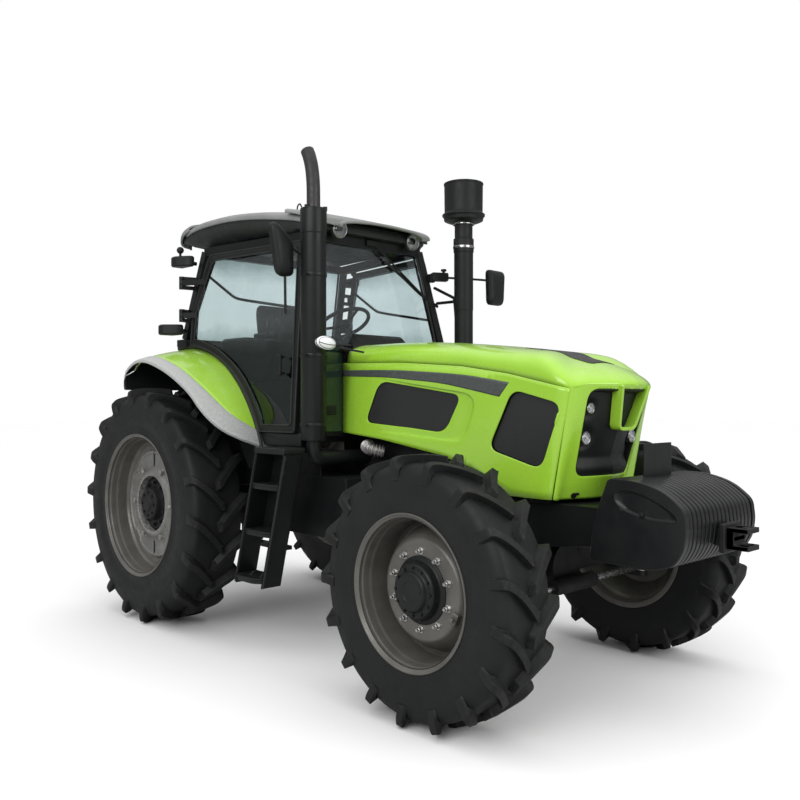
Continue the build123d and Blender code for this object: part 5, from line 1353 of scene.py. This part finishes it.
# tapered arm from the cab's front to the marker, and a flat blade from it over the hood's side
armOutline = filleted([(-0.022, -0.011), (0.022, -0.008), (0.022, 0.008), (-0.022, 0.011)], 0.006, 4)
taper = np.linspace(1.0, 0.65, 20)[:, None, None]
markerArm = carried(smoothLine([(1.500, 0.430, 1.905), (1.580, 0.500, 1.915), (1.665, 0.590, 1.925),
                                (1.700, 0.655, 1.935)], 20), armOutline[None] * taper, (0, 0, 1))
blade = carried(smoothLine([(1.672, 0.668, 1.922), (1.690, 0.604, 1.915), (1.728, 0.536, 1.902),
                            (1.767, 0.482, 1.890)], 20), armOutline[None] * taper * 0.8, (0, 0, 1))
makePiece("markerArms", bothSides(joined(markerArm, blade)), "blackPlastic", crease=40)


# rear lamp: a tapered housing with a lens behind
def rearLampHead(x0, x1, y0, y1, z, deep):
    outline = filleted([(x0, y0 + 0.010), (x0, y1), (x0 + 0.060, y1), (x1, y0 + 0.045), (x1, y0)],
                       [0.008, 0.018, 0.02, 0.035, 0.02], 6)
    shell = prism(outline, z - deep, z + deep, 2, 0.010)
    lens = brick(x0 - 0.007, x0 + 0.004, y0 + 0.016, y1 - 0.012, z - deep + 0.010, z + deep - 0.010, 0.004,
                 0.003)
    return shell, lens


upperShell, upperLens = rearLampHead(0.060, 0.225, 0.770, 0.880, 2.610, 0.038)
lowerShell, lowerLens = rearLampHead(-0.030, 0.120, 0.800, 0.935, 2.115, 0.038)
ballTop = lathe(filleted([(-0.026, 0.0), (-0.022, 0.016), (-0.008, 0.026), (0.008, 0.026), (0.022, 0.016),
                          (0.026, 0.0)], 0.006, 4, False), (0.120, 0.832, 2.695), 2, 24)
lampBars = joined(bar((0.120, 0.832, 2.64), (0.120, 0.832, 2.685), 0.009),
                  bar((0.120, 0.700, 2.61), (0.110, 0.800, 2.61), 0.014),
                  bar((0.030, 0.740, 2.115), (0.060, 0.830, 2.115), 0.014))
makePiece("rearLampShells", bothSides(joined(upperShell, lowerShell, ballTop, lampBars)), "blackPlastic",
          crease=30, hides=["rear_lamps"])
makePiece("rearLampAmber", bothSides(upperLens), "amberLens")
makePiece("rearLampRed", bothSides(lowerLens), "redLens")


stepTable = dict(rearLow=1.035, frontLow=1.320, lean=0.235, low=0.420, high=1.262, back=0.800, plate=0.945)


# place along the tractor of a point that leans forward with height
def leanX(x, z):
    return x + stepTable["lean"] * (z - stepTable["low"]) / (stepTable["high"] - stepTable["low"])


# side plate of the steps with its bent lip
def ladderSide(x, flange):
    low, high, y0, y1 = stepTable["low"], stepTable["high"], stepTable["back"], stepTable["plate"]
    outline = [(x, low), (x + 0.010, low), (leanX(x + 0.010, high), high), (leanX(x, high), high)]
    plate = prism(outline, y0, y1, 1, 0.002)
    lip = prism([(x + min(flange, 0), low + 0.004), (x + max(flange, 0.010), low + 0.004),
                 (leanX(x + max(flange, 0.010), high), high - 0.004),
                 (leanX(x + min(flange, 0), high), high - 0.004)], y1 - 0.008, y1, 1, 0.002)
    return joined(plate, lip)


# tread: a slab with bevelled front corners over a narrower apron, with cups or teeth on top
def tread(z, nose, holes=False):
    x0, x1 = leanX(stepTable["rearLow"], z), leanX(stepTable["frontLow"], z) + 0.010
    y0, y1 = stepTable["back"], 0.960
    outline = filleted([(x0, y0), (x1, y0), (x1, y1 - 0.020), (x1 - 0.055, y1 + nose),
                        (x0 + 0.055, y1 + nose), (x0, y1 - 0.020)],
                       [0.002, 0.002, 0.02, 0.03, 0.03, 0.02], 5)
    slab = prism(outline, z + 0.022, z + 0.034, 2, 0.003)
    apron = prism(filleted([(x0 + 0.004, y0 + 0.1), (x1 - 0.004, y0 + 0.1), (x1 - 0.004, y1 - 0.022),
                            (x1 - 0.058, y1 + nose - 0.004), (x0 + 0.058, y1 + nose - 0.004),
                            (x0 + 0.004, y1 - 0.022)], [0.002, 0.002, 0.02, 0.03, 0.03, 0.02], 5),
                  z, z + 0.023, 2, 0.002)
    cups = [lathe(filleted([(z + 0.030, r - 0.004), (z + 0.0385, r - 0.003), (z + 0.0385, r + 0.001),
                            (z + 0.030, r + 0.003)], 0.001, 3), (cx, cy, 0), 2, 20, True)
            for cx, cy, r in [(x0 + 0.06 + 0.055 * k, y0 + 0.055 + 0.05 * (k % 2), 0.014)
                              for k in range(4)]]
    teeth = [brick(x0 + 0.03 + 0.028 * k, x0 + 0.042 + 0.028 * k, y1 + nose - 0.030, y1 + nose - 0.012,
                   z + 0.033, z + 0.038, 0.002, 0.001) for k in range(8)]
    return joined(slab, apron, *(cups if holes else []), *teeth)


# steps: two leaning sides, a back plate, three treads, the platform on top and its hanger
def stepLadder():
    s = stepTable
    panelLow = 0.760
    back = prism([(leanX(s["rearLow"], panelLow), panelLow),
                  (leanX(s["frontLow"], panelLow) + 0.01, panelLow),
                  (leanX(s["frontLow"], s["high"]) + 0.01, s["high"]),
                  (leanX(s["rearLow"], s["high"]), s["high"])], s["back"], s["back"] + 0.008, 1, 0.001)
    top = brick(1.250, 1.565, 0.785, 0.945, 1.262, 1.300, 0.008)
    inner = brick(1.250, 1.480, 0.612, 0.800, 1.262, 1.300, 0.008)
    hanger = brick(1.250, 1.379, 0.612, 0.642, 1.290, 1.362, 0.002)
    studs = [hexBolt(leanX(s["frontLow"] + 0.03, z), s["plate"] - 0.01, z, 0.008, 0.012)
             for z in (1.235, 1.15)]
    return joined(ladderSide(s["rearLow"], -0.016), ladderSide(s["frontLow"], 0.030), back, top, inner,
                  hanger, *studs, tread(0.450, 0.024, True), tread(0.745, 0.0), tread(1.040, 0.0))


makePiece("steps", bothSides(stepLadder()), "blackPaint", crease=30, hides=["steps"])


weights = dict(half=0.360, count=18, gap=0.010)
weightSide = [(3.436, 1.208), (3.600, 1.206), (3.740, 1.165), (3.838, 1.085), (3.850, 0.990),
              (3.838, 0.905), (3.790, 0.820), (3.660, 0.785), (3.330, 0.795), (3.350, 0.985)]
weightOutline = filleted(weightSide, [0.02, 0.07, 0.06, 0.03, 0.03, 0.03, 0.05, 0.05, 0.03, 0.05], 6)


# which way round two flat vectors lie
def turnBetween(a, b):
    return a[0] * b[1] - a[1] * b[0]


# outer cheek: rings from the plate's edge to a long hollow that narrows forward, sunk behind a thin
# raised rim
def weightCheek():
    edge = evenly(weightOutline, 120, True)
    turn = np.linspace(0, 2 * np.pi, 120, endpoint=False)
    along, tall = 0.172 * np.cos(turn), (0.054 - 0.016 * np.cos(turn)) * np.sin(turn)
    tilt = math.radians(-15)
    centre = np.array([3.640, 1.082])
    hollow = centre + np.stack([along * math.cos(tilt) - tall * math.sin(tilt),
                                along * math.sin(tilt) + tall * math.cos(tilt)], 1)
    start = int(np.argmin(np.linalg.norm(edge - hollow[0] - (0.2, 0), axis=1)))
    edge = np.roll(edge, -start, 0)
    if (turnBetween(edge[1] - centre, edge[0] - centre)
            * turnBetween(hollow[1] - centre, hollow[0] - centre) < 0):
        edge = np.roll(edge[::-1], 1, 0)
    middle = hollow.mean(0)
    # each ring with its depth behind the cheek's face
    rows = [(edge, 0.034), (edge, 0.0035), (edge + (middle - edge) * 0.02, 0.0)]
    rows += [(edge + (hollow - edge) * share, 0.0) for share in (0.3, 0.6, 0.9)]
    rows += [(hollow + (hollow - middle) * share, depth)
             for share, depth in ((0.03, 0.0), (0.015, -0.0022), (0.0, -0.0022), (-0.03, 0.002),
                                  (-0.12, 0.008), (-0.3, 0.011), (-0.6, 0.012), (-0.97, 0.012))]
    return cappedRings(np.stack([np.column_stack([line[:, 0], np.full(len(line), weights["half"] - depth),
                                                  line[:, 1]]) for line, depth in rows]))


pitch = 2 * weights["half"] / weights["count"]
plates = [prism(weightOutline, i * pitch - weights["half"],
                (i + 1) * pitch - weights["half"] - weights["gap"], 1, 0.0035)
          for i in range(1, weights["count"] - 1)]
core = prism(filleted(np.array(weightSide)
                      + [(0.024, -0.024), (0, -0.026), (-0.016, -0.024), (-0.024, -0.016), (-0.026, 0),
                         (-0.024, 0.016), (-0.016, 0.024), (0, 0.026), (0.024, 0.024), (0.024, 0)], 0.03, 6),
             -0.35, 0.35, 1, 0.002)
studs = [lathe(filleted([(0.352, 0.0), (0.352, 0.013), (0.3625, 0.012), (0.3625, 0.0)], 0.002, 3, False),
               (x, 0, z), 1, 20) for x, z in ((3.620, 1.047), (3.505, 1.058))]
makePiece("weightPlates", joined(*plates, core), "weightCasting", crease=28, hides=["front_weights"])
makePiece("weightCheeks", bothSides(joined(weightCheek(), *studs)), "weightCasting", crease=28)

# carrier: block on the bolster and a forked jaw with a chain link's width
jawOutline = [(3.880, 0.882), (4.000, 0.882), (4.000, 0.906), (3.930, 0.906), (3.930, 0.964),
              (4.000, 0.964), (4.000, 0.988), (3.880, 0.988)]
jawPlates = joined(prism(filleted(jawOutline, [0.01, 0.02, 0.008, 0.02, 0.02, 0.008, 0.02, 0.01], 5),
                         -0.060, 0.060, 1, 0.004),
                   brick(3.866, 3.896, -0.085, 0.085, 0.865, 1.005, 0.012, 0.006))
makePiece("towJaw", jawPlates, "darkCasting", crease=30)
print("mirrors, lamps, steps and weights made")


# cab: half width of the cab's side at a place: straight between the rear axle and the front post, in two
# slopes of height
def cabSide(x, z):
    rear = np.interp(z, [1.362, 2.030, 2.700], [0.778, 0.776, 0.738])
    front = np.interp(z, [1.362, 2.030, 2.700], [0.764, 0.670, 0.534])
    return rear + (front - rear) * np.asarray(x) / 1.350


# line round the door at an inset: up its rear edge, along its top, down the front post and back over the
# wheel arch
def doorLine(inset):
    arc, low, top = 1.168 + inset, 1.386 + inset, 2.655 - inset
    first = math.atan2(low - 0.842, math.sqrt(arc ** 2 - (low - 0.842) ** 2))
    turn = np.linspace(math.acos((0.150 + inset) / arc), first, 40)
    archLine = np.stack([arc * np.cos(turn), 0.842 + arc * np.sin(turn)], 1)
    rest = filleted([archLine[-1], (1.420 - inset, low), (1.350 - inset, 2.030), (1.256 - inset, top),
                     (0.300 + inset, top), (0.150 + inset, 2.240), archLine[0]],
                    [0, 0.02, 0.05, 0.04, 0.04, 0.06, 0], 6, False)
    line = evenly(np.concatenate([archLine, rest[1:-1]]), 220, True)
    return np.column_stack([line[:, 0], cabSide(line[:, 0], line[:, 1]), line[:, 1]])


for node in ("cab_frame", "cab_floor", "door_left", "door_right"):
    dressNode(node, "blackPaint", 0.003)
for node in ("door_glass_left", "door_glass_right"):
    dressNode(node, "doorGlass")
rubber = carried(doorLine(0.048) + (0, 0.001, 0), ring(0.0055, 8), (0, 1, 0), True)
seam = carried(doorLine(0.004) + (0, -0.001, 0), ring(0.006, 8), (0, 1, 0), True)
handle = joined(brick(1.235, 1.262, 0.718, 0.752, 1.760, 1.775, 0.004),
                brick(1.235, 1.262, 0.718, 0.752, 1.865, 1.880, 0.004),
                brick(1.232, 1.265, 0.742, 0.758, 1.752, 1.888, 0.008, 0.004))
inner = pipe([(0.294, 0.690, 2.496), (0.60, 0.668, 2.315), (0.72, 0.660, 2.29), (1.26, 0.610, 2.195)],
             0.010, bend=0.05)
for hand, way in (("left", 1), ("right", -1)):
    for name, shape, kind in (("doorSeal", joined(rubber, seam), "sealRubber"),
                              ("doorHandle", joined(handle, inner), "blackPlastic")):
        makePiece(name + hand.capitalize(), shape if way > 0 else mirrored(shape), kind, "door_" + hand,
                  crease=40)


# windscreen plane: leans back with height
def screenX(z):
    return 1.350 - (z - 2.030) * 0.1515 + 0.012


wiperArm = [(0.010, 2.690), (0.08, 2.655), (0.30, 2.490), (0.46, 2.370)]
wiperBlade = [(0.132, 2.582), (0.30, 2.480), (0.46, 2.372), (0.629, 2.292)]
arm = carried(smoothLine([(screenX(z) + 0.024, y, z) for y, z in wiperArm], 30), ring(0.006, 10), (1, 0, 0))
blade = carried(smoothLine([(screenX(z) + 0.008, y, z) for y, z in wiperBlade], 30),
                filleted([(-0.010, -0.007), (0.010, -0.003), (0.010, 0.003), (-0.010, 0.007)], 0.002, 3),
                (1, 0, 0))
motor = brick(1.262, 1.300, -0.045, 0.045, 2.672, 2.716, 0.010)
makePiece("wiper", joined(arm, blade, motor), "blackPlastic")

frameCorners = [(0.560, 1.960), (0.566, 2.030), (0.470, 2.664), (-0.470, 2.664), (-0.566, 2.030),
                (-0.560, 1.960)]
frameLine = [(screenX(z) + 0.002, y, z) for y, z in filleted(frameCorners, 0.05, 6)]
makePiece("screenSeal", carried(evenly(np.array(frameLine), 160, True), ring(0.008, 8), (1, 0, 0), True),
          "sealRubber", crease=40)


# seat: crowned closed forms whose edges pull in, each a superellipse carried along its own line
def cushion(start, end, wide, thick):
    start, end = np.array(start, float), np.array(end, float)
    share = np.linspace(0, 1, 26)
    pull = (1 - np.abs(2 * share - 1) ** 5) ** (1 / 2.6)
    turn = np.linspace(0, 2 * np.pi, 44, endpoint=False)
    across = np.sign(np.cos(turn)) * np.abs(np.cos(turn)) ** 0.42
    deep = np.sign(np.sin(turn)) * np.abs(np.sin(turn)) ** 0.62
    bolster = 1 + 0.25 * (np.abs(across) ** 3 - 0.35)
    way = (end - start) / np.linalg.norm(end - start)
    up = np.array([-way[2], 0, way[0]])
    centre = start + (end - start) * share[:, None]
    points = (centre[:, None]
              + np.array([0, 1, 0]) * (wide / 2 * across)[None, :, None] * (0.86 + 0.14 * pull)[:, None, None]
              + up * (thick / 2 * deep * bolster)[None, :, None] * np.maximum(pull, 0.02)[:, None, None])
    return cappedRings(points)


pads = {"seatBase": cushion((0.250, 0, 1.850), (0.730, 0, 1.870), 0.50, 0.125),
        "seatBack": cushion((0.325, 0, 1.900), (0.225, 0, 2.330), 0.48, 0.120)}
for name, shape in pads.items():
    pad = makePiece(name, shape, "seatCloth", crease=60, hides=["seat"] if name == "seatBase" else ())
rests = bothSides(joined(brick(0.30, 0.60, 0.262, 0.320, 2.060, 2.100, 0.02, 0.01),
                         bar((0.33, 0.29, 2.07), (0.31, 0.25, 1.93), 0.014)))
pedestal = joined(brick(0.330, 0.560, -0.150, 0.150, 1.732, 1.800, 0.02, 0.004),
                  brick(0.300, 0.620, -0.19, 0.19, 1.790, 1.812, 0.02))
makePiece("seatParts", joined(rests, pedestal), "blackPlastic", crease=40)

# dash: hooded instrument pod on a plinth, column and wheel
pod = prism(filleted([(1.225, 1.900), (1.215, 1.990), (1.260, 2.045), (1.360, 2.050), (1.425, 1.985),
                      (1.440, 1.900)], [0.01, 0.03, 0.05, 0.05, 0.05, 0.01], 6), -0.255, 0.255, 1, 0.035)
plinth = prism(filleted([(1.222, 1.395), (1.465, 1.395), (1.465, 1.905), (1.222, 1.905)], 0.02, 4), -0.215,
               0.215, 1, 0.02)
column = joined(bar((1.255, 0, 1.900), (1.000, 0, 2.130), 0.026),
                bar((1.285, 0, 1.86), (1.12, 0, 2.02), 0.045))
wheelRing = carried(np.array([(0.192 * math.sin(a), 0.192 * math.cos(a), 0)
                              for a in np.linspace(0, 2 * math.pi, 73)[:-1]]), ring(0.014, 12),
                    (0, 0, 1), True)
spokes = joined(roundAbout(bar((0.02, 0, -0.02), (0.186, 0, 0), 0.010), (0, 0, 0), (0, 120, 240), 2),
                lathe(filleted([(-0.035, 0.0), (-0.035, 0.042), (0.008, 0.050), (0.014, 0.034),
                                (0.016, 0.0)], 0.006, 4, False), (0, 0, 0), 2, 32))
steering = moved(joined(wheelRing, spokes), (0.985, 0, 2.150), (0, -30, 0))
makePiece("dash", joined(pod, plinth, column), "blackPlastic", hides=["console"])
makePiece("steeringWheel", steering, "blackPlastic", crease=40)
sideDesk = prism(filleted([(0.28, 1.735), (0.86, 1.735), (0.98, 1.90), (0.93, 2.00), (0.60, 2.045),
                           (0.28, 2.045)], 0.05, 6), -0.600, -0.340, 1, 0.02)
levers = joined(*[joined(bar((x, y, 2.03), (x + 0.02, y + 0.01, 2.03 + tall), 0.007),
                         lathe(filleted([(0, 0.0), (0, 0.014), (0.030, 0.020), (0.050, 0.014), (0.052, 0.0)],
                                        0.005, 4, False), (x + 0.02, y + 0.01, 2.02 + tall), 2, 20))
                  for x, y, tall in ((0.62, -0.42, 0.10), (0.70, -0.47, 0.13), (0.78, -0.42, 0.16),
                                     (0.84, -0.50, 0.09))])
makePiece("sideDesk", joined(sideDesk, levers), "blackPlastic")

# dark glass between the stack and the hood, and the ribbed pipe that shows under the hood's rear corner
cowl = bothSides(prism([(1.505, 1.395), (1.516, 1.395), (1.516, 1.925), (1.505, 1.925)], 0.450, 0.630, 1,
                       0.002))
makePiece("cowlPanes", cowl, "cowlGlass", crease=40)
ribs = 0.036 + 0.006 * np.sin(np.linspace(0, 28 * np.pi, 240))
hosePath = smoothLine([(1.66, -0.34, 1.300), (1.70, -0.40, 1.302), (1.76, -0.42, 1.290),
                       (1.82, -0.36, 1.270)], 240)
hose = carried(hosePath, ring(1.0, 20)[None] * ribs[:, None, None], (0, 0, 1))
makePiece("ribbedPipe", hose, "corrugatedPipe", crease=60)

# sill under the door, and a dark panel between the wheel and the steps
sill = prism(filleted([(1.075, 1.300), (1.470, 1.300), (1.470, 1.384), (1.030, 1.384)], 0.008, 4), 0.640,
             0.752, 1, 0.006)
makePiece("doorSills", bothSides(sill), "blackPaint")
skirt = prism([(0.300, 1.150), (0.560, 1.000), (1.500, 1.000), (1.500, 1.345), (0.700, 1.345),
               (0.560, 1.480), (0.300, 1.600)], 0.606, 0.616, 1, 0.003)
makePiece("cabSkirts", bothSides(skirt), "blackPaint")

# plain castings and frames keep their CAD shape with softened edges
for node, kind, soften in (("engine_block", "darkCasting", 0.008), ("gearbox", "darkCasting", 0.006),
                           ("front_frame", "blackPaint", 0.004), ("front_axle", "darkCasting", 0.006),
                           ("fuel_tank", "blackPlastic", 0.012), ("battery_box", "blackPaint", 0.004),
                           ("knuckle_left", "darkCasting", 0.004), ("knuckle_right", "darkCasting", 0.004),
                           ("drawbar", "blackPaint", 0.003), ("lower_links", "darkCasting", 0.003),
                           ("lift_rods", "darkCasting", 0.002), ("rockshaft", "darkCasting", 0.003),
                           ("top_link", "darkCasting", 0.002), ("plate_bracket", "blackPaint", 0.002),
                           ("weight_carrier", "darkCasting", 0.004)):
    dressNode(node, kind, soften)
print("cab and details made")


# plain nodes that keep their CAD shape
slotFinish = {"green_paint": "limePaint", "black_paint": "blackPaint", "grey_casting": "darkCasting",
              "weight_casting": "weightCasting", "black_plastic": "blackPlastic",
              "grey_plastic": "roofPlastic", "rim_silver": "rimSilver", "rim_taupe": "rimTaupe",
              "tyre_rubber": "tyreRubber", "tinted_glass": "cabGlass", "lamp_glass": "lampGlass",
              "bright_steel": "brightSteel", "seat_cloth": "seatCloth"}
for node in nodes.values():
    for place in node.material_slots:
        kind = place.material.name.split(".")[0] if place.material else ""
        if kind in slotFinish:
            place.material = finish[slotFinish[kind]]


# stage: pale floor, soft overhead light, white surround for everything but diffuse light
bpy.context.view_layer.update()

floorMesh = bpy.data.meshes.new("floor")
floorMesh.from_pydata([(-60, -60, 0), (60, -60, 0), (60, 60, 0), (-60, 60, 0)], [], [(0, 1, 2, 3)])
floor = bpy.data.objects.new("floor", floorMesh)
bpy.context.scene.collection.objects.link(floor)
ground = bpy.data.materials.new("ground")
ground.use_nodes = True
tree = ground.node_tree
shader = tree.nodes["Principled BSDF"]
shader.inputs["Roughness"].default_value = 0.9
shader.inputs["Specular IOR Level"].default_value = 0.1
rays = addNode(tree, "LightPath")
tree.links.new(mixColour(tree, rays.outputs["Is Camera Ray"], (0.42, 0.42, 0.42), (0.90, 0.90, 0.90)),
               shader.inputs["Base Color"])
floorMesh.materials.append(ground)

world = bpy.data.worlds.new("surround")
bpy.context.scene.world = world
world.use_nodes = True
tree = world.node_tree
backdrop = tree.nodes["Background"]
backdrop.inputs["Color"].default_value = (1, 1, 1, 1)
# the sky is brightest overhead for light and reflections, and plain white where it is seen directly
rays = addNode(tree, "LightPath")
seen = addNode(tree, "Math", operation="MAXIMUM")
tree.links.new(rays.outputs["Is Camera Ray"], seen.inputs[0])
tree.links.new(rays.outputs["Is Transmission Ray"], seen.inputs[1])
way, split = addNode(tree, "TexCoord"), addNode(tree, "SeparateXYZ")
tree.links.new(way.outputs["Generated"], split.inputs["Vector"])
sky = spread(tree, split.outputs["Z"], 0.0, 1.0, 0.20, 1.60)
mirror = addNode(tree, "Math", operation="MULTIPLY")
tree.links.new(sky, mirror.inputs[0])
tree.links.new(spread(tree, rays.outputs["Is Glossy Ray"], 0.0, 1.0, 1.0, 0.62), mirror.inputs[1])
level = addNode(tree, "Mix", data_type="FLOAT")
tree.links.new(seen.outputs[0], level.inputs[0])
tree.links.new(mirror.outputs[0], level.inputs[2])
level.inputs[3].default_value = 1.0
tree.links.new(level.outputs[0], backdrop.inputs["Strength"])


# rectangular soft light at a place, turned so that its face looks at a point
def areaLight(name, place, aim, size, power):
    lamp = bpy.data.lights.new(name, "AREA")
    lamp.shape, lamp.size, lamp.size_y = "RECTANGLE", size[0], size[1]
    lamp.energy = power
    holder = bpy.data.objects.new(name, lamp)
    bpy.context.scene.collection.objects.link(holder)
    holder.location = place
    way = np.array(aim, float) - np.array(place, float)
    holder.rotation_euler = (math.atan2(math.hypot(way[0], way[1]), -way[2]), 0,
                             math.atan2(way[0], -way[1]) + math.pi)


areaLight("rightSide", (3.0, -8.5, 5.0), (0, 0, 1.2), (7, 4), 330)
areaLight("front", (9.0, 0.5, 4.2), (0, 0, 1.3), (5, 4), 200)

view = bpy.data.cameras.new("view")
view.lens, view.sensor_width = 38.34, 36.0
camera = bpy.data.objects.new("view", view)
bpy.context.scene.collection.objects.link(camera)
camera.location = (4.292, -3.9604, 1.5829)
camera.rotation_euler = (math.radians(90.127), math.radians(0.034), math.radians(46.53))
bpy.context.scene.camera = camera
bpy.context.scene.view_settings.view_transform = "Standard"
print("stage made")
